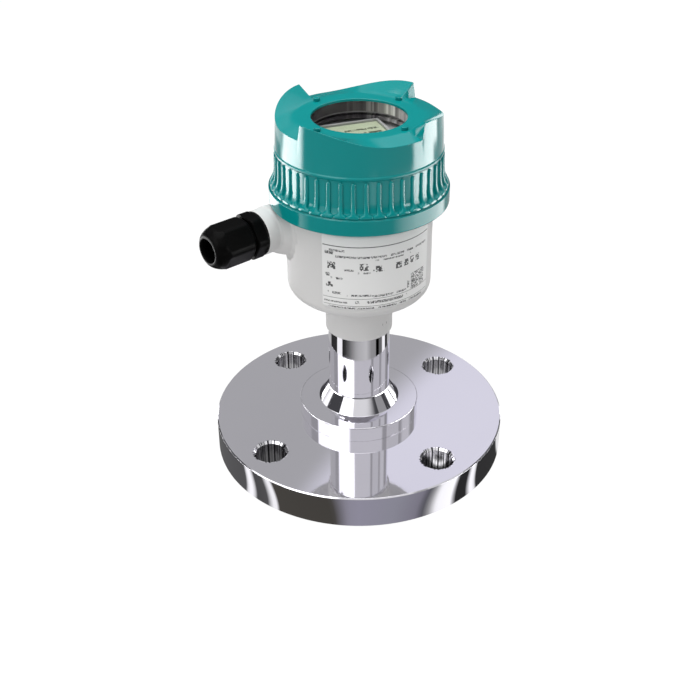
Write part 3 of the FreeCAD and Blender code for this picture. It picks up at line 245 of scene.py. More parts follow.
wall_cards = [
    (0.0, 0.5), (0.212, 0.5), (0.226, 20.0), (0.27, 19.0), (0.32, 12.0), (0.34, 2.0),
    (0.65, 1.0), (0.66, 9.0), (0.72, 15.0), (0.785, 17.0), (0.80, 1.0), (1.0, 0.5)]
for start, end, stops in ((0.091, 0.094, neck_cards), (0.15, 0.22, ring_cards),
                          (0.335, 0.36, lid_cards), (0.455, 0.475, wall_cards)):
    cards = blend(climb(across, start, end), cards, stepped(ground_bearing, stops))
ground_rays = add(ground, "ShaderNodeLightPath").outputs
plain_floor = add(ground, "ShaderNodeBsdfDiffuse", {"Color": opaque(0.5)}).outputs[0]
white_floor = add(ground, "ShaderNodeEmission", {"Color": opaque(1.0),
                                                 "Strength": 1.12}).outputs[0]
card_light = fed("ShaderNodeEmission", {"Color": cards})
wash = 0.85
washed = calc("MULTIPLY", wash, calc("MAXIMUM", ground_rays["Is Camera Ray"],
                                     ground_rays["Is Transmission Ray"]))
floor_shader = choose(ground_rays["Is Glossy Ray"],
                      choose(washed, plain_floor, white_floor), card_light)
add(ground, "ShaderNodeOutputMaterial", {"Surface": floor_shader})
floor_mesh.materials.append(floor_material)


def soft_lamp(name, place, size, power):
    """A large square lamp that points at the middle of the object."""
    data = bpy.data.lights.new(name, "AREA")
    data.shape = "RECTANGLE"
    data.size, data.size_y = size
    data.energy = power
    lamp = placed(name, data)
    lamp.location = to_camera @ Vector(place)
    middle = Vector((0, 0, 0.1))
    lamp.rotation_euler = (lamp.location - middle).to_track_quat("Z", "Y").to_euler()
    lamp.visible_camera = False


soft_lamp("overhead", (-0.1, 0.0, 1.0), (0.8, 0.8), 7.0)
soft_lamp("left_bank", (-0.5, -0.6, 0.5), (0.5, 0.8), 2.0)
soft_lamp("right_bank", (0.8, -0.3, 0.45), (0.4, 0.8), 0.3)


# Flange: a disc turned from stainless bar, drilled with four bolt holes and polished bright.
# The edges of the holes and of the rim are broken with a small chamfer.

def rounded(outline, steps=4, hold=0.05):
    """
    Rounds the corners of an outline of (radius, height, rounding) in millimetres.
    A flat run keeps a point just short of each rounding, so that it is shaded flat.
    """
    points = []
    count = len(outline)
    for index, (x, y, size) in enumerate(outline):
        corner = np.array((x, y))
        if size <= 0:
            points.append(tuple(corner))
            continue
        back = np.array(outline[index - 1][:2]) - corner
        forth = np.array(outline[(index + 1) % count][:2]) - corner
        back_length, forth_length = np.linalg.norm(back), np.linalg.norm(forth)
        back, forth = back / back_length, forth / forth_length
        half = math.acos(np.clip(back @ forth, -1, 1)) / 2
        reach = min(size / math.tan(half), back_length * 0.48, forth_length * 0.48)
        radius = reach * math.tan(half)
        middle = (back + forth) / np.linalg.norm(back + forth)
        centre = corner + middle * radius / math.sin(half)
        start, end = corner + back * reach, corner + forth * reach
        first, last = start - centre, end - centre
        sweep = math.atan2(first[0] * last[1] - first[1] * last[0], first @ last)
        points.append(tuple(start + back * min(hold, back_length * 0.01 + 0.01)))
        for step in range(steps + 1):
            turn = sweep * step / steps
            cosine, sine = math.cos(turn), math.sin(turn)
            points.append((centre[0] + first[0] * cosine - first[1] * sine,
                           centre[1] + first[0] * sine + first[1] * cosine))
        points.append(tuple(end + forth * min(hold, forth_length * 0.01 + 0.01)))
    return points


def grid_mesh(name, rings, closed_rows=True, closed_columns=True):
    """
    A mesh from rings of points in millimetres, shaped (rows, columns, 3).
    A ring whose points are all one point becomes a pole.
    """
    rings = np.asarray(rings, dtype=float)
    rows, columns = rings.shape[:2]
    corners = rings.reshape(-1, 3) * MM
    faces = []
    for row in range(rows if closed_rows else rows - 1):
        below, above_row = row * columns, ((row + 1) % rows) * columns
        for column in range(columns if closed_columns else columns - 1):
            after = (column + 1) % columns
            faces.append((below + column, below + after, above_row + after, above_row + column))
    mesh = bpy.data.meshes.new(name)
    mesh.from_pydata(corners.tolist(), [], faces)
    return tidy(mesh)


def tidy(mesh):
    """Merges doubles, turns the faces outwards and shades them smooth."""
    work = bmesh.new()
    work.from_mesh(mesh)
    bmesh.ops.remove_doubles(work, verts=work.verts, dist=1e-7)
    bmesh.ops.dissolve_degenerate(work, edges=work.edges, dist=1e-8)
    bmesh.ops.recalc_face_normals(work, faces=work.faces)
    for face in work.faces:
        face.smooth = True
    work.to_mesh(mesh)
    work.free()
    return mesh


def even_angles(count):
    return np.arange(count) * math.tau / count


def turned_rings(outline, angles):
    """The rings of a shape turned about Z from (radius, height) points."""
    outline = np.asarray(outline)
    return np.stack([outline[:, :1] * np.cos(angles), outline[:, :1] * np.sin(angles),
                     outline[:, 1:2] * np.ones_like(angles)], axis=-1)


def turned_mesh(name, outline, columns, closed_rows=True):
    """A solid turned about Z; one whose outline starts and ends on the axis isn't closed."""
    return grid_mesh(name, turned_rings(outline, even_angles(columns)), closed_rows)


def show(mesh, material, body, *nodes):
    """Puts a finished mesh in the scene, on its body, in place of the plain nodes it details."""
    piece = placed(mesh.name, mesh)
    mesh.materials.clear()
    mesh.materials.append(material)
    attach(piece, body)
    if nodes:
        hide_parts(*nodes)


def node_group(name, kind, inputs, outputs):
    """
    An empty node group, with its input and output sockets.
    An input is given by its start value, or by its kind of socket where it has none.
    """
    group = bpy.data.node_groups.new(name, kind)
    for label, start in inputs.items():
        value_kind = {int: "Int", float: "Float", str: start}[type(start)]
        socket = group.interface.new_socket(label, in_out="INPUT",
                                            socket_type="NodeSocket" + value_kind)
        if not isinstance(start, str):
            socket.default_value = start
    for label, value_kind in outputs.items():
        group.interface.new_socket(label, in_out="OUTPUT", socket_type="NodeSocket" + value_kind)
    return group, add(group, "NodeGroupInput").outputs, add(group, "NodeGroupOutput").inputs


def noise(place, scale, detail):
    """Smooth random values over space."""
    return fed("ShaderNodeTexNoise", {"Vector": place, "Scale": scale, "Detail": detail})


def streaks(along, scale, detail):
    """Smooth random values along a line."""
    return fed("ShaderNodeTexNoise", {"W": along, "Scale": scale, "Detail": detail},
               noise_dimensions="1D")


def surface_group(name, size_label, size, roughness, unevenness, marks, smears):
    """
    A shader group that gives a height and a drifting roughness.
    The marks are a function of the place and the size; the smears are a noise's settings.
    """
    group, given, result = node_group(
        name, "ShaderNodeTree",
        {size_label: size, "Roughness": roughness, "Unevenness": unevenness},
        {"Height": "Float", "Roughness": "Float"})
    place = object_place(group)
    drift = calc("SUBTRACT", noise(place, *smears), 0.5)
    group.links.new(marks(place, given[size_label]), result["Height"])
    group.links.new(calc("MULTIPLY_ADD", drift, given["Unevenness"],
                         given["Roughness"]), result["Roughness"])
    return group


def tool_marks(place, spacing):
    """Fine rings left by a turning tool, which run on from a face to a side."""
    parts = split(place)
    along = calc("MULTIPLY", calc("ADD", from_axis(parts), parts["Z"]), 1 / MM)
    return streaks(calc("DIVIDE", along, spacing), 1.0, 2.0)


turning_group = surface_group("turning_marks", "Spacing mm", 0.12, 0.1, 0.04, tool_marks,
                              (45.0, 3.0))


def finish_material(name, colour, roughness, metallic=0.0, **sockets):
    """A material with a Principled shader, and its node tree."""
    material = bpy.data.materials.new(name)
    material.use_nodes = True
    inputs = material.node_tree.nodes["Principled BSDF"].inputs
    inputs["Base Color"].default_value = opaque(colour)
    inputs["Roughness"].default_value = roughness
    inputs["Metallic"].default_value = metallic
    for label, setting in sockets.items():
        inputs[label.replace("_", " ")].default_value = setting
    return material, material.node_tree


def paint(source, label="Base Color"):
    """Feeds a colour or a value into the shader of its material."""
    tree = source.id_data
    tree.links.new(source, tree.nodes["Principled BSDF"].inputs[label])


def surfaced(name, colour, group, size, roughness, uneven, bump, depth=0.00003, **settings):
    """A material whose bump and roughness come from a surface group with marks of one size."""
    material, tree = finish_material(name, colour, roughness, **settings)
    marks = add(tree, "ShaderNodeGroup", {0: size, 1: roughness, 2: uneven}, node_tree=group)
    paint(fed("ShaderNodeBump", {"Height": marks.outputs["Height"], "Strength": bump,
                                 "Distance": depth}), "Normal")
    paint(marks.outputs["Roughness"], "Roughness")
    return material, tree


def tinted(tree, colour, other, scale):
    """Lets the base colour drift between two near tints over the surface."""
    tint = blend(noise(object_place(tree), scale, 2.0), colour, other)
    paint(tint)
    return tint


polished, polished_tree = surfaced(
    "polished_stainless", (0.74, 0.73, 0.77), turning_group, size=0.35, roughness=0.045,
    uneven=0.03, bump=0.03, depth=0.00002, metallic=1.0)
tinted(polished_tree, (0.70, 0.69, 0.735), (0.76, 0.75, 0.79), 14.0)

rim_run, rim_edge = 1.4, 0.5
hole_circle, hole_radius, hole_edge = 55.0, 7.0, 1.0
hole_places = [(hole_circle, 0.0), (0.0, hole_circle), (-hole_circle, 0.0), (0.0, -hole_circle)]
bore_radius, lip_radius, lip_height, bore_run = 22.0, 18.5, 2.0, 0.6


def flange_mesh():
    """Rim, bore and hole walls as strips of rings, and flat faces filled between their loops."""
    work = bmesh.new()
    flats = {flange_top: [], 0.0: []}

    def wall(profile, centre, count, finish=0):
        angles = even_angles(count)
        loops = [[work.verts.new((centre[0] + radius * math.cos(angle),
                                  centre[1] + radius * math.sin(angle), height))
                  for angle in angles] for radius, height in profile]
        for lower, upper in zip(loops, loops[1:]):
            for index in range(count):
                after = (index + 1) % count
                work.faces.new((lower[index], lower[after], upper[after],
                                upper[index])).material_index = finish
        for loop, (_, height) in ((loops[0], profile[0]), (loops[-1], profile[-1])):
            if height in flats:
                flats[height].append(loop)

    rim = rounded([
        (flange_radius - rim_run, 0.0, 0), (flange_radius - rim_edge, 0.0, 0.12),
        (flange_radius, rim_edge, 0.12), (flange_radius, flange_top - rim_edge, 0.12),
        (flange_radius - rim_edge, flange_top, 0.12), (flange_radius - rim_run, flange_top, 0)])
    wall(rim, (0, 0), 288)
    bore = rounded([
        (bore_radius + bore_run, flange_top, 0), (bore_radius, flange_top, 0.1),
        (bore_radius, lip_height, 0.1), (lip_radius, lip_height, 0.1), (lip_radius, 0.0, 0.15),
        (lip_radius + bore_run, 0.0, 0)])
    wall(bore, (0, 0), 192)
    hole = rounded([
        (hole_radius + hole_edge + 0.5, flange_top, 0),
        (hole_radius + hole_edge, flange_top, 0.1),
        (hole_radius, flange_top - hole_edge, 0.12),
        (hole_radius, 0.0, 0.1), (hole_radius + 0.4, 0.0, 0)], steps=3)
    for place in hole_places:
        wall(hole, place, 72, finish=1)
    for loops in flats.values():
        edges = []
        for loop in loops:
            for index, vertex in enumerate(loop):
                edges.append(work.edges.get((vertex, loop[(index + 1) % len(loop)])))
        bmesh.ops.triangle_fill(work, edges=edges, use_beauty=True)
    bmesh.ops.scale(work, vec=(MM, MM, MM), verts=work.verts)
    mesh = bpy.data.meshes.new("polished_flange")
    work.to_mesh(mesh)
    work.free()
    return tidy(mesh)


flange = flange_mesh()
finishes = [polygon.material_index for polygon in flange.polygons]
show(flange, polished, "process_fitting", "flange")
hole_wall_painted_reflection, drilled_tree = surfaced(
    "hole_wall_painted_reflection", (0.6, 0.6, 0.62), turning_group, size=0.3, roughness=0.16, uneven=0.1,
    bump=0.1, metallic=1.0)

# The holes lie on the X and Y axes, so a point's hole is on the axis that it is farther along.
drilled_parts = split(object_place(drilled_tree))
on_x = calc("GREATER_THAN", *(calc("ABSOLUTE", drilled_parts[axis]) for axis in "XY"))
offsets = []
for axis, chosen in (("X", on_x), ("Y", calc("SUBTRACT", 1.0, on_x))):
    sign = calc("SIGN", drilled_parts[axis])
    centre = calc("MULTIPLY", calc("MULTIPLY", sign, chosen), hole_circle * MM)
    offsets.append(calc("SUBTRACT", drilled_parts[axis], centre))
round_hole = calc("ARCTAN2", offsets[1], offsets[0])
# Painted reflection: the hole walls' colour runs in dark and near-white streaks round each hole,
# in place of what the bore reflects.
paint(stepped(streaks(round_hole, 5.0, 3.0), [
    (0.36, (0.03, 0.03, 0.035)), (0.43, (0.12, 0.12, 0.13)), (0.46, (0.85, 0.84, 0.88)),
    (0.56, (0.95, 0.94, 0.97)), (0.60, (0.1, 0.1, 0.11))]))
flange.materials.append(hole_wall_painted_reflection)
flange.polygons.foreach_set("material_index", finishes)

# Process neck: hub, cone and tube turned in one piece, polished like the flange.
# Its spigot carries the housing, and is hidden inside the socket.

neck_outline = rounded([
    (18.0, 7.0, 0), (21.9, 7.0, 0.2), (21.9, 16.0, 0.2), (28.7, 16.0, 0.1),
    (28.7, 23.5, 0.35), (19.4, 23.5, 0.35), (14.6, 30.8, 1.2), (14.6, 63.7, 0.3),
    (12.4, 63.7, 0.2), (12.4, 66.15, 0.1), (10.5, 66.15, 0.1), (10.5, 68.25, 0.1),
    (12.4, 68.25, 0.1), (12.4, 85.7, 0.1), (11.4, 85.7, 0.1), (11.4, 86.8, 0.1),
    (12.4, 86.8, 0.1), (12.4, 88.0, 0.3), (8.0, 88.0, 0.2), (8.0, 34.0, 0.3)])
show(turned_mesh("polished_neck", neck_outline, 192), polished, "process_fitting", "process_neck")


# Antenna side: a white low-loss lens closes the bore, held by the flange's lip.
# Behind it are a spun steel horn, its seal and a drawn waveguide; none shows from outside.

def pebbles(place, scale):
    """The fine grain of a moulding tool."""
    return noise(place, scale, 2.0)


grain_group = surface_group("moulded_grain", "Scale", 2500.0, 0.4, 0.08, pebbles, (60.0, 4.0))


def moulded(name, colour, other, roughness, size=2500.0, bump=0.15, **settings):
    """A moulded plastic or rubber with a fine grain and a slight drift of its tint."""
    material, tree = surfaced(name, colour, grain_group, size, roughness, roughness * 0.35,
                              bump, 0.00004, **settings)
    tinted(tree, colour, other, 35.0)
    return material


def machined(name, colour, other, roughness):
    """A turned or drawn metal with fine rings."""
    material, tree = surfaced(name, colour, turning_group, 0.15, roughness, roughness * 0.4,
                              0.12, metallic=1.0)
    tinted(tree, colour, other, 60.0)
    return material


def dress(material, *nodes):
    """Gives plain nodes their finish; their meshes stay as they are."""
    for node in nodes:
        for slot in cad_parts[node].material_slots:
            slot.material = material


lens_white = moulded("lens_white", (0.82, 0.82, 0.79), (0.86, 0.86, 0.84), 0.28, bump=0.05)
lens_outline = rounded([(0.0, 0.2, 0), (18.45, 0.2, 0.15), (18.45, 2.0, 0.1),
                        (21.95, 2.0, 0.1), (21.95, 5.0, 0.1), (15.0, 5.0, 0.1),
                        (12.0, 6.6, 0), (8.0, 7.97, 0), (4.0, 8.75, 0), (0.0, 9.0, 0)])
show(turned_mesh("lens_disc", lens_outline, 128, closed_rows=False), lens_white,
     "process_fitting", "antenna_lens")
black_rubber = moulded("black_rubber", (0.006, 0.006, 0.006), (0.012, 0.012, 0.012), 0.6,
                       size=1800.0, Specular_IOR_Level=0.1)
spun_steel = machined("spun_steel", (0.5, 0.5, 0.52), (0.56, 0.56, 0.57), 0.3)
drawn_copper = machined("drawn_copper", (0.72, 0.48, 0.27), (0.78, 0.55, 0.33), 0.28)
spring_steel = machined("spring_steel", (0.16, 0.15, 0.15), (0.22, 0.21, 0.2), 0.35)
dress(black_rubber, "lens_seal", "neck_seal_ring")
dress(spun_steel, "horn_cone")
dress(drawn_copper, "waveguide_tube")
dress(spring_steel, "swivel_circlip")

# Housing: a pot moulded in light grey plastic, with a socket that turns on the neck.
# Each entry is a round boss that flares into the wall, and a screw locks the swivel.

housing_grey = moulded("housing_grey", (0.65, 0.645, 0.64), (0.68, 0.675, 0.67), 0.42,
                       size=3200.0, bump=0.10, Specular_IOR_Level=0.03)
wall_radius, inner_wall = 33.0, 30.6


def arc(centre, radius, start, end, steps):
    """Points of an arc in an outline, in degrees."""
    angles = np.radians(np.linspace(start, end, steps + 1))
    return [(centre[0] + radius * math.cos(angle), centre[1] + radius * math.sin(angle), 0)
            for angle in angles]


pot_outline = rounded(
    [(12.48, 63.7, 0.2), (15.7, 63.7, 0.5), (15.7, 85.0, 0.5), (20.0, 85.0, 0)]
    + arc((27.3, 90.7), 5.7, -90, 0, 12)
    + [(wall_radius, 156.0, 0.3), (30.0, 156.0, 0.3)]
    + arc((27.3, 91.2), 2.7, 0, -90, 6)
    + [(14.0, 88.5, 0.1), (14.0, 85.7, 0.1), (12.48, 85.7, 0.1)])
show(turned_mesh("housing_pot", pot_outline, 192), housing_grey, "housing", "housing_body")

entry_across, entry_level, boss_radius = 19.0, 119.0, 10.2
flare_start, flare_length, flare_growth, flare_shift = 36.5, 16.5, 2.6, 5.6


def soft_least(first, second, ease):
    """The lesser of two distances, with a rounded change from one to the other."""
    near = np.clip(0.5 + 0.5 * (second - first) / ease, 0, 1)
    return second + (first - second) * near - ease * near * (1 - near)


def entry_distance(x, y, z):
    """How far a point is outside the wall, the boss and its flare, melted together."""
    wall_gap = np.hypot(x, y) - wall_radius
    boss_gap = np.hypot(y - entry_across, z - entry_level) - boss_radius
    share = np.clip((flare_start - x) / flare_length, 0, 1)
    flare_radius = boss_radius + flare_growth * share ** 0.6
    flare_y = entry_across - flare_shift * share ** 0.8
    flare_z = entry_level + boss_radius - 0.2 - flare_radius
    flare_gap = np.maximum(np.hypot(y - flare_y, z - flare_z) - flare_radius, x - flare_start)
    return soft_least(soft_least(flare_gap, boss_gap, 1.6), wall_gap, 1.2)


def entry_mesh(name, mirror):
    """The boss's skin, found by walking outwards from its axis until the surface is reached."""
    turns = even_angles(144)

    def ring(station, reach):
        return np.stack([np.full(len(turns), station), entry_across + reach * np.cos(turns),
                         entry_level + reach * np.sin(turns)], axis=-1)

    rings = []
    for station in np.concatenate([np.linspace(15.0, 35.0, 60), np.linspace(35.2, 42.9, 24)]):
        low, high = np.zeros(len(turns)), np.full(len(turns), 19.0)
        for _ in range(28):
            middle = (low + high) / 2
            outside = entry_distance(*np.moveaxis(ring(station, middle), -1, 0)) > 0
            high = np.where(outside, middle, high)
            low = np.where(outside, low, middle)
        rings.append(ring(station, low))
    for radius, station in ((10.16, 43.02), (10.05, 43.13), (9.9, 43.18), (9.7, 43.2),
                            (8.2, 43.2), (8.0, 43.0), (8.0, 31.0), (6.8, 30.2),
                            (6.8, 15.0)):
        rings.append(ring(station, radius))
    rings = np.array(rings)
    rings[..., 0] *= mirror
    distance = np.hypot(rings[..., 0], rings[..., 1])
    pushed = np.where(distance < inner_wall, inner_wall / np.maximum(distance, 1e-6), 1.0)
    rings[..., :2] *= pushed[..., None]
    return grid_mesh(name, rings)


for name, mirror in (("gland_entry", -1), ("plug_entry", 1)):
    show(entry_mesh(name, mirror), housing_grey, "housing")
dress(machined("black_oxide", (0.02, 0.02, 0.02), (0.035, 0.035, 0.035), 0.4),
      "swivel_lock_screw")

# Nameplate: a white printed film wrapped round the pot's front, with bare generic marks.
# The print is rules and plain blocks, set out by the bearing round the pot and the height.

label_white = (0.82, 0.82, 0.815)
label, label_tree = surfaced(
    "label_film", label_white, grain_group, size=1500.0, roughness=0.34, uneven=0.1, bump=0.04,
    Specular_IOR_Level=0.04)

# The marks: cells inside a rectangle are inked at random, in words with gaps between them.
marks_group, given, result = node_group("printed_marks", "ShaderNodeTree", {
    "Across": 0.0, "Up": 0.0, "Left": 0.0, "Right": 1.0, "Low": 0.0, "High": 1.0,
    "Cell wide": 1.0, "Cell high": 1.0, "Cover": 1.0, "Word": 3.0}, {"Ink": "Float"})


def whole_steps(distance, size):
    """How many whole steps of one size a distance holds."""
    return calc("FLOOR", calc("DIVIDE", distance, size))


cell = fed("ShaderNodeCombineXYZ", {
    "X": whole_steps(given["Across"], given["Cell wide"]),
    "Y": whole_steps(calc("SUBTRACT", given["Up"], given["Low"]), given["Cell high"]),
    "Z": given["Low"]})
chance = fed("ShaderNodeTexWhiteNoise", {"Vector": cell})
word_place = calc("ADD", given["Low"], whole_steps(given["Across"], given["Word"]))
word = fed("ShaderNodeTexWhiteNoise", {"W": word_place}, noise_dimensions="1D")
word_gaps = 0.16
marked = 1.0
for operation, first, second in (
        ("GREATER_THAN", given["Across"], given["Left"]),
        ("LESS_THAN", given["Across"], given["Right"]),
        ("GREATER_THAN", given["Up"], given["Low"]),
        ("LESS_THAN", given["Up"], given["High"]),
        ("LESS_THAN", chance, given["Cover"]), ("GREATER_THAN", word, word_gaps)):
    marked = calc("MULTIPLY", marked, calc(operation, first, second))
marks_group.links.new(marked, result["Ink"])


def printed(place, ink, areas, wide, high, cover, word_length):
    """Adds marks of one kind to the ink of a surface, where place is across and up in mm."""
    for left, right, low, top in areas:
        block = add(place[0].id_data, "ShaderNodeGroup", {
            "Across": place[0], "Up": place[1], "Left": left, "Right": right, "Low": low,
            "High": top, "Cell wide": wide, "Cell high": high, "Cover": cover,
            "Word": word_length}, node_tree=marks_group)
        ink = calc("MAXIMUM", ink, block.outputs["Ink"])
    return ink


film_start, film_span, film_low, film_high = -160.0, 93.0, 91.0, 127.0
film_radius, film_thickness, film_corner = wall_radius + 0.02, 0.15, 0.8
label_spot = object_place(label_tree)
label_parts = turned(label_spot, math.radians(-90 - film_start - film_span / 2))
round_label = calc("ARCTAN2", label_parts["X"], calc("MULTIPLY", label_parts["Y"], -1.0))
label_place = (calc("MULTIPLY", round_label, wall_radius),
               calc("MULTIPLY", label_parts["Z"], 1 / MM))
rules = [(-26.4, 26.4, 121.5, 121.9), (-26.4, 26.4, 96.45, 96.65), (-26.4, 26.4, 92.9, 93.1)]
small_print = [
    (-23.4, -16.5, 119.2, 120.2), (-25.4, -21.4, 117.6, 119.0), (-20.6, 24.6, 116.4, 117.4),
    (-4.0, 14.0, 115.0, 115.7), (-16.6, -12.6, 110.2, 111.1), (-10.8, -5.4, 109.0, 109.8),
    (-25.2, -23.2, 106.9, 108.6), (-22.8, -17.4, 105.8, 106.8), (12.4, 13.6, 98.2, 101.6),
    (-24.2, -18.2, 98.5, 99.6), (-15.6, -4.9, 97.9, 98.8), (-4.6, 12.5, 97.3, 98.3),
    (-12.8, 12.4, 94.3, 95.6), (-26.0, -14.4, 94.2, 95.0), (-24.0, 22.0, 91.6, 92.4)]
bold_marks = [
    (-24.2, -20.6, 110.6, 114.0), (-17.8, -11.4, 112.2, 113.4), (-10.0, -6.2, 110.6, 114.0),
    (-4.2, 0.7, 109.7, 110.9), (-3.1, -0.4, 110.9, 112.6), (6.2, 9.2, 109.6, 112.6),
    (10.4, 12.8, 109.8, 112.8), (13.8, 16.0, 110.0, 113.2), (17.2, 19.6, 109.9, 113.3),
    (-25.0, -21.8, 101.8, 103.0), (-24.1, -22.7, 103.0, 104.4)]
coded_square = [(14.6, 23.6, 96.8, 104.8)]
unbroken = 900.0
ink = 0.0
for areas, wide, high, cover, word_length in (
        (rules, 60.0, 9.0, 1.0, unbroken), (small_print, 0.22, 0.3, 0.62, 1.7),
        (bold_marks, 0.6, 0.55, 0.68, unbroken), (coded_square, 0.36, 0.36, 0.52, unbroken)):
    ink = printed(label_place, ink, areas, wide, high, cover, word_length)
wear = calc("MULTIPLY_ADD", noise(label_spot, 1400.0, 1.0), 0.3, 0.75)
worn_ink = calc("MULTIPLY", ink, wear)
paint(blend(worn_ink, label_white, (0.02, 0.02, 0.022)))


def wrapped_film(name, columns, rows):
    """The film with its rounded corners, bent round the Z axis."""
    half = math.radians(film_span) * film_radius / 2
    half_height = (film_high - film_low) / 2
    skins = []
    for skin in (film_radius, film_radius + film_thickness):
        rings = []
        for row in range(rows + 1):
            up = -half_height + 2 * half_height * row / rows
            into_corner = max(film_corner - (half_height - abs(up)), 0.0)
            inset = film_corner - math.sqrt(film_corner ** 2 - into_corner ** 2)
            line = np.linspace(-half + inset, half - inset, columns + 1)
            angles = math.radians(film_start + film_span / 2) + line / film_radius
            rings.append(np.stack([
                skin * np.cos(angles), skin * np.sin(angles),
                np.full(columns + 1, (film_low + film_high) / 2 + up)], axis=-1))
        skins.append(rings)
    inner_skin, outer_skin = skins
    return grid_mesh(name, inner_skin + outer_skin[::-1], closed_columns=False)


show(wrapped_film("nameplate_film", 72, 24), label, "housing", "nameplate_label")

# Cable gland: black nylon, with a hexagon flange, a domed nut and a rubber seal in its mouth.
# Every part is turned about the entry's own axis, which points out to the left.

gloss_black = moulded("gloss_black", (0.002, 0.002, 0.002), (0.004, 0.004, 0.004), 0.28,
                      size=1200.0, bump=0.05, Specular_IOR_Level=0.025)
hex_rounding = 0.5


def hexagonal(radius, flats, angles):
    """The distance to a hexagon's side at each bearing, with eased corners."""
    apothem = flats / 2
    folded = (angles + math.pi / 6) % (math.pi / 3) - math.pi / 6
    side_reach = apothem / np.cos(folded)
    corner_reach = apothem / math.cos(math.pi / 6) - hex_rounding
    eased = soft_least(side_reach, np.full_like(side_reach, corner_reach), hex_rounding * 0.8)
    return np.minimum(eased, radius)


def along_entry(rings, start):
    """Lays rings that were made about Z on the gland's axis, from a distance outwards."""
    rings = np.asarray(rings)
    return np.stack([-(start + rings[..., 2]), entry_across + rings[..., 1],
                     entry_level + rings[..., 0]], axis=-1)


def hexagon_rings(before, held, after, flats):
    """Turned rings of three runs of an outline, of which the middle one is held to a hexagon."""
    angles = even_angles(144)
    rings = turned_rings(before + held + after, angles)
    rows = slice(len(before), len(before) + len(held))
    for ring, (radius, _) in zip(rings[rows], held):
        ring[:, :2] *= (hexagonal(radius, flats, angles) / radius)[:, None]
    return rings


def domed_edge(radius, low, high, ease, rows):
    """Rows of a turned solid whose two ends fall off in a quarter round."""
    falls = [(ease * (1 - math.sin(turn)), ease * (1 - math.cos(turn)))
             for turn in (math.pi / 2 * step / rows for step in range(rows + 1))]
    return ([(radius - inward, low + along) for inward, along in falls]
            + [(radius - inward, high - along) for inward, along in falls[::-1]])


body_rings = hexagon_rings(
    [(5.2, -11.0), (7.6, -11.0), (7.85, -10.7), (7.85, -0.02)],
    [(8.2, 0.0)] + domed_edge(11.2, 0.0, 5.0, 1.3, 5),
    [(8.6, 5.0), (8.1, 5.02), (7.85, 5.2), (7.85, 15.8), (7.6, 16.0), (6.9, 16.0), (6.9, 7.0),
     (5.2, 6.0)], 19.0)
show(grid_mesh("gland_flange", along_entry(body_rings, 44.0)), gloss_black, "housing",
     "gland_body")

nut_rings = hexagon_rings(
    [(8.15, 0.3), (8.35, 0.05), (8.6, 0.0), (8.8, 0.3)],
    domed_edge(10.2, 0.9, 14.4, 1.1, 4)[:-3] + [(9.75, 14.2)],
    [(9.45, 15.3), (9.0, 16.4), (8.4, 17.5), (7.8, 18.3), (7.2, 18.9), (6.6, 19.25),
     (6.0, 19.4), (5.6, 19.35), (5.4, 19.1), (5.4, 17.2), (6.0, 16.4), (8.15, 12.4)], 18.2)
show(grid_mesh("gland_cap", along_entry(nut_rings, 49.6)), gloss_black, "gland_nut",
     "gland_nut")

insert_outline = rounded([(3.2, 0.0, 0.3), (5.7, 0.0, 0.2), (6.5, 0.8, 0.2), (6.5, 7.8, 0.2),
                          (5.4, 8.1, 0.1), (5.4, 11.0, 0.4), (3.2, 11.0, 0.5)])
insert_rings = turned_rings(insert_outline, even_angles(96))
show(grid_mesh("seal_insert", along_entry(insert_rings, 51.35)), black_rubber, "gland_insert",
     "gland_seal_insert")
dress(moulded("grey_nylon", (0.2, 0.2, 0.205), (0.24, 0.24, 0.24), 0.4), "gland_clamp_cage")
dress(black_rubber, "gland_gasket", "plug_seal")
dress(gloss_black, "blanking_plug")

# Lid: a thick screw cap moulded in glossy petrol green, with a ribbed grip round its side.
# Its top is a swirl of four ramps, each of which falls from a step to the next one.

lid_green, lid_tree = surfaced(
    "lid_petrol", (0.002, 0.23, 0.23), grain_group, size=900.0, roughness=0.11, uneven=0.04,
    bump=0.04, Specular_IOR_Level=0.27)
tinted(lid_tree, (0.002, 0.225, 0.225), (0.002, 0.24, 0.238), 25.0)

ramp_count, ramp_start, ramp_fall, ramp_rise, ramp_draft = 4, -85.6, 68.0, 6.7, 2.2
lid_outline = rounded(
    [(33.4, 130.0, 0.3), (40.0, 130.0, 0.7), (40.0, 137.4, 0.7)]
    + arc((44.9, 143.2), 8.4, 230, 182, 8)
    + [(36.45, 145.5, 0), (36.35, 149.0, 0), (36.3, 153.2, 0.25), (36.95, 153.8, 0.3),
       (37.0, 154.6, 0.3), (36.6, 155.2, 0.3), (36.5, 158.0, 0), (36.35, 161.0, 0),
       (36.2, 163.5, 0), (36.05, 165.5, 0), (36.0, 167.0, 0.25), (34.4, 167.25, 0),
       (32.6, 167.55, 0), (30.8, 167.85, 0), (29.2, 168.12, 0), (27.8, 168.36, 0),
       (27.0, 168.42, 0), (24.5, 168.35, 0), (20.7, 168.2, 0.35), (20.7, 167.0, 0.1),
       (22.25, 167.0, 0.1), (22.25, 163.4, 0.1), (27.2, 163.4, 0.1), (27.2, 159.4, 0.2),
       (31.0, 159.4, 0.3), (31.0, 162.0, 0.3), (33.4, 162.0, 0.3), (33.4, 133.5, 0.1),
       (35.6, 133.5, 0.1), (35.6, 131.0, 0.1), (33.4, 131.0, 0.1)], steps=3)

# The lid's columns are even, but for close ones across each step.
step_offsets = (-1.2, -0.5, -0.15, 0.0, 0.15, 0.5, 1.0, 1.5, 1.9, 2.1, 2.3, 2.6, 3.0, 3.6)
column_step, ramp_span = 1.8, 360 / ramp_count
lid_bearings = sorted(
    [ramp_start + ramp_span * ramp + offset for ramp in range(ramp_count)
     for offset in step_offsets]
    + [ramp_start + column_step * index for index in range(200)
       if 3.9 < (column_step * index) % ramp_span < 88.5])
lid_base = grid_mesh("lid_cap", turned_rings(lid_outline, np.radians(lid_bearings)))


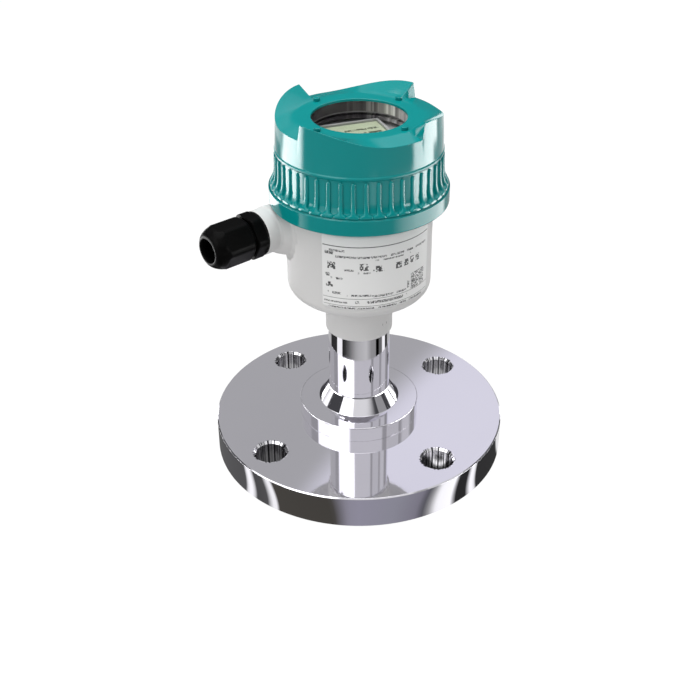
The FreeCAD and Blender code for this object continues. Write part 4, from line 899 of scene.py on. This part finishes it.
def apply_tree(mesh, tree, settings):
    """Runs a geometry tree on a mesh and gives back the plain mesh that comes out."""
    carrier = placed(mesh.name, mesh)
    modifier = carrier.modifiers.new(tree.name, "NODES")
    modifier.node_group = tree
    for item in tree.interface.items_tree:
        if item.in_out == "INPUT" and item.name in settings:
            modifier[item.identifier] = settings[item.name]
    bpy.context.view_layer.update()
    evaluated = carrier.evaluated_get(bpy.context.evaluated_depsgraph_get())
    made = bpy.data.meshes.new_from_object(evaluated)
    made.name = mesh.name
    bpy.data.objects.remove(carrier)
    return made


def finish_tree(geometry, material, result):
    """Ends a geometry tree with its material and its output."""
    coloured = fed("GeometryNodeSetMaterial", {"Geometry": geometry, "Material": material})
    coloured.id_data.links.new(coloured, result["Geometry"])


swirl, given, result = node_group("lid_swirl", "GeometryNodeTree", {
    "Geometry": "Geometry", "Ramps": 4.0, "Start": 0.0, "Fall": 66.0, "Draft": 2.2,
    "Rise": 0.0067, "Hub": 0.0275, "Rim": 0.036, "Finish": "Material"},
    {"Geometry": "Geometry"})
lift_from, lift_all = 0.158, 0.1668
point = split(add(swirl, "GeometryNodeInputPosition").outputs[0])
turn = calc("DEGREES", calc("ARCTAN2", point["Y"], point["X"]))
span = calc("DIVIDE", 360.0, given["Ramps"])
from_start = calc("ADD", calc("SUBTRACT", turn, given["Start"]), 720.0)
past_step = calc("MULTIPLY", calc("FRACT", calc("DIVIDE", from_start, span)), span)
past_draft = calc("MAXIMUM", calc("SUBTRACT", past_step, given["Draft"]), 0.0)
fallen = calc("MINIMUM", calc("DIVIDE", past_draft, given["Fall"]), 1.0)
wave = calc("MULTIPLY_ADD", calc("COSINE", calc("MULTIPLY", fallen, math.pi)), 0.5, 0.5)
up_step = climb(past_step, 0.0, given["Draft"], "LINEAR")
outward = climb(from_axis(point), given["Hub"], given["Rim"], "LINEAR")
upward = climb(point["Z"], lift_from, lift_all, "LINEAR")
above_base = calc("GREATER_THAN", point["Z"], lift_from + 0.0001)
lift = given["Rise"]
for factor in (wave, up_step, outward, upward, above_base):
    lift = calc("MULTIPLY", lift, factor)
raised = fed("GeometryNodeSetPosition", {"Geometry": given["Geometry"],
                                         "Offset": fed("ShaderNodeCombineXYZ", {"Z": lift})})
finish_tree(raised, given["Finish"], result)
lid_mesh = apply_tree(lid_base, swirl, {
    "Ramps": float(ramp_count), "Start": ramp_start, "Fall": ramp_fall, "Draft": ramp_draft,
    "Rise": ramp_rise * MM, "Finish": lid_green})
for polygon in lid_mesh.polygons:
    polygon.use_smooth = True
lid_mesh.set_sharp_from_angle(angle=math.radians(50))
show(lid_mesh, lid_green, "lid", "lid_shell")

# Grip ribs: one rib with a rounded head and a flared foot, repeated evenly round the side.
# They are moulded with the lid, so they ride on it.

rib_count = 44
rib_rows = [(137.9, 2.77, 39.3), (138.5, 2.74, 39.2), (138.9, 2.4, 39.1), (139.1, 1.8, 39.0),
            (139.4, 1.35, 38.9), (139.9, 1.1, 38.65), (140.7, 1.0, 38.25),
            (141.8, 0.95, 37.85), (143.4, 0.92, 37.5), (146.0, 0.9, 37.3),
            (149.0, 0.9, 37.2), (151.4, 0.9, 37.15), (152.0, 0.8, 37.12),
            (152.5, 0.55, 37.05), (152.8, 0.2, 36.8)]
rib_cross = [(-1.0, -1.9), (-1.0, -0.45), (-0.85, -0.15), (-0.5, -0.02), (0.0, 0.02),
             (0.5, -0.02), (0.85, -0.15), (1.0, -0.45), (1.0, -1.9)]
rib = grid_mesh("grip_rib", [[(reach + dip, width * half, height) for width, dip in rib_cross]
                             for height, half, reach in rib_rows],
                closed_rows=False, closed_columns=False)
repeat, given, result = node_group("ring_of_ribs", "GeometryNodeTree", {
    "Geometry": "Geometry", "Count": rib_count, "First": 0.0, "Finish": "Material"},
    {"Geometry": "Geometry"})
points = fed("GeometryNodeMeshLine", {"Count": given["Count"], "Offset": (0.0, 0.0, 0.0)})
bearing_step = calc("MULTIPLY", add(repeat, "GeometryNodeInputIndex").outputs[0],
                    calc("DIVIDE", math.tau, given["Count"]))
spin = fed("ShaderNodeCombineXYZ", {"Z": calc("ADD", bearing_step, given["First"])})
copies = fed("GeometryNodeInstanceOnPoints", {"Points": points, "Rotation": spin,
                                              "Instance": given["Geometry"]})
finish_tree(fed("GeometryNodeRealizeInstances", {"Geometry": copies}), given["Finish"], result)
ribs = apply_tree(rib, repeat, {"Count": rib_count, "Finish": lid_green,
                                "First": math.radians(180 / rib_count)})
show(ribs, lid_green, "lid")

# Stop lugs: a small rounded block moulded with the lid at the inner end of each step.
# They stand beside the window and ride on the lid.

lug_radius, lug_flattening = 25.6, 0.8
lug_outline = rounded([(0.0, 168.2, 0), (1.6, 168.2, 0), (1.6, 169.9, 0.3), (0.0, 169.9, 0)])
lug_rings = [[(lug_radius + lug_flattening * reach * math.cos(turn), reach * math.sin(turn),
               height) for turn in np.linspace(0, math.tau, 24, endpoint=False)]
             for reach, height in lug_outline]
lugs = apply_tree(grid_mesh("stop_lug", lug_rings, closed_rows=False), repeat,
                  {"Count": ramp_count, "Finish": lid_green,
                   "First": math.radians(ramp_start + 1.5)})
show(lugs, lid_green, "lid")

# Window: a metal sleeve, its colour painted with reflections, lines the opening, with a clear
# pane below it on a rubber gasket.
# A ring with four screws holds the pane up from inside the lid.

sleeve_painted_reflection, sleeve_tree = surfaced(
    "sleeve_painted_reflection", (0.78, 0.77, 0.78), turning_group, size=0.2, roughness=0.32, uneven=0.08,
    bump=0.05, metallic=0.55)
# Painted reflection: the sleeve's colour is dark on one side and near white on the other, in
# streaks round it, in place of what its metal reflects. The retainer ring wears the same paint.
sleeve_parts = split(object_place(sleeve_tree))
round_sleeve = calc("ARCTAN2", sleeve_parts["Y"], sleeve_parts["X"])
painted_lit_side = calc("COSINE", calc("ADD", round_sleeve, math.radians(30)))
painted_reflection_share = calc("MULTIPLY_ADD", streaks(round_sleeve, 7.0, 4.0), 0.9,
            calc("MULTIPLY_ADD", painted_lit_side, 0.45, -0.2))
paint(stepped(painted_reflection_share, [(0.25, (0.07, 0.062, 0.068)), (0.42, (0.12, 0.11, 0.12)),
                     (0.62, (0.5, 0.48, 0.48)), (0.75, (0.95, 0.92, 0.92))]))
sleeve_outline = rounded([(20.9, 162.4, 0.1), (27.0, 162.4, 0.1), (27.0, 163.4, 0.1),
                          (22.1, 163.4, 0.1), (22.1, 167.0, 0.1), (20.9, 167.0, 0.1)])
show(turned_mesh("window_liner", sleeve_outline, 144), sleeve_painted_reflection, "lid", "window_sleeve")


def clear_glass(name, colour, roughness, index):
    """Clear glass that passes shadow and diffuse rays straight on, so the inside is lit."""
    material, tree = finish_material(name, colour, roughness, Transmission_Weight=1.0, IOR=index)
    rays = add(tree, "ShaderNodeLightPath").outputs
    passed = calc("MAXIMUM", rays["Is Shadow Ray"], rays["Is Diffuse Ray"])
    clear = add(tree, "ShaderNodeBsdfTransparent", {"Color": (0.97, 0.98, 0.97, 1)})
    shown = choose(passed, tree.nodes["Principled BSDF"].outputs["BSDF"], clear.outputs[0])
    tree.links.new(shown, tree.nodes["Material Output"].inputs["Surface"])
    return material


pane_outline = rounded([(0.0, 159.4, 0), (27.0, 159.4, 0.2), (27.0, 161.6, 0.2),
                        (0.0, 161.6, 0)])
show(turned_mesh("window_disc", pane_outline, 96, closed_rows=False),
     clear_glass("pane_glass", (0.97, 0.99, 0.98), 0.02, 1.1), "lid", "window_pane")
plated_steel = machined("plated_steel", (0.62, 0.62, 0.64), (0.68, 0.68, 0.69), 0.25)
dress(moulded("grey_silicone", (0.22, 0.21, 0.22), (0.27, 0.26, 0.27), 0.5), "window_gasket")
dress(sleeve_painted_reflection, "window_retainer")
dress(plated_steel, "retainer_screws")
dress(black_rubber, "lid_seal")

# Display: a grey frame round the screen, with four keys, and the case and board behind it.
# The screen is a film with rows of generic segments, under a thin cover glass; it glows faintly
# with painted light.

# Painted light: the screen glows at a strength of 0.15 though it holds no lamp, so it stays
# bright behind the glass.
screen, screen_tree = surfaced(
    "screen_film", (0.42, 0.45, 0.33), grain_group, size=1500.0, roughness=0.3, uneven=0.1,
    bump=0.03, Emission_Strength=0.15)
screen_clear = tinted(screen_tree, (0.40, 0.43, 0.32), (0.46, 0.48, 0.37), 80.0)
screen_parts = turned(object_place(screen_tree), math.radians(20))
screen_place = [calc("MULTIPLY", screen_parts[axis], 1 / MM) for axis in "XY"]
segments = 0.0
for low, top, wide in ((-4.6, -2.8, 0.5), (-1.2, 3.4, 1.1), (6.0, 8.0, 0.5)):
    segments = printed(screen_place, segments, [(-11.5, 11.5, low, top)], wide,
                       (top - low) / 3, 0.6, 4.2)
screen_colour = blend(segments, screen_clear, (0.09, 0.1, 0.07))
paint(screen_colour)
# The same colour, segments and all, feeds the painted glow.
paint(screen_colour, "Emission Color")
dress(screen, "lcd_panel")
dress(clear_glass("screen_glass", (0.95, 0.97, 0.93), 0.05, 1.05), "lcd_cover")
dress(moulded("display_grey", (0.3, 0.29, 0.3), (0.36, 0.35, 0.36), 0.4),
      "display_frame", "display_case")
dress(moulded("key_grey", (0.3, 0.3, 0.31), (0.34, 0.34, 0.35), 0.45),
      "key_escape", "key_minus", "key_plus", "key_enter")
board_green = moulded("board_green", (0.01, 0.12, 0.05), (0.015, 0.15, 0.065), 0.3)
dress(board_green, "display_board")
dress(plated_steel, "switch_domes")

# Electronics: a moulded can with the radar module and the main board, closed by a cover.
# On the cover stand the terminal block, the earth stud and the carrier of the display.

dress(moulded("inner_black", (0.02, 0.02, 0.022), (0.03, 0.03, 0.032), 0.45),
      "electronics_can", "display_carrier")
dress(board_green, "main_board")
dress(moulded("component_black", (0.015, 0.015, 0.016), (0.03, 0.03, 0.03), 0.5),
      "board_components")
dress(machined("tinned_shield", (0.6, 0.6, 0.6), (0.66, 0.66, 0.65), 0.35), "radar_module")
dress(moulded("cover_grey", (0.13, 0.135, 0.14), (0.15, 0.155, 0.16), 0.5), "module_cover")
dress(moulded("terminal_green", (0.03, 0.12, 0.07), (0.04, 0.14, 0.085), 0.45),
      "terminal_block")
dress(machined("turned_brass", (0.7, 0.52, 0.22), (0.75, 0.58, 0.28), 0.3), "earth_stud")
dress(plated_steel, "terminal_screws", "earth_screw", "carrier_screws")
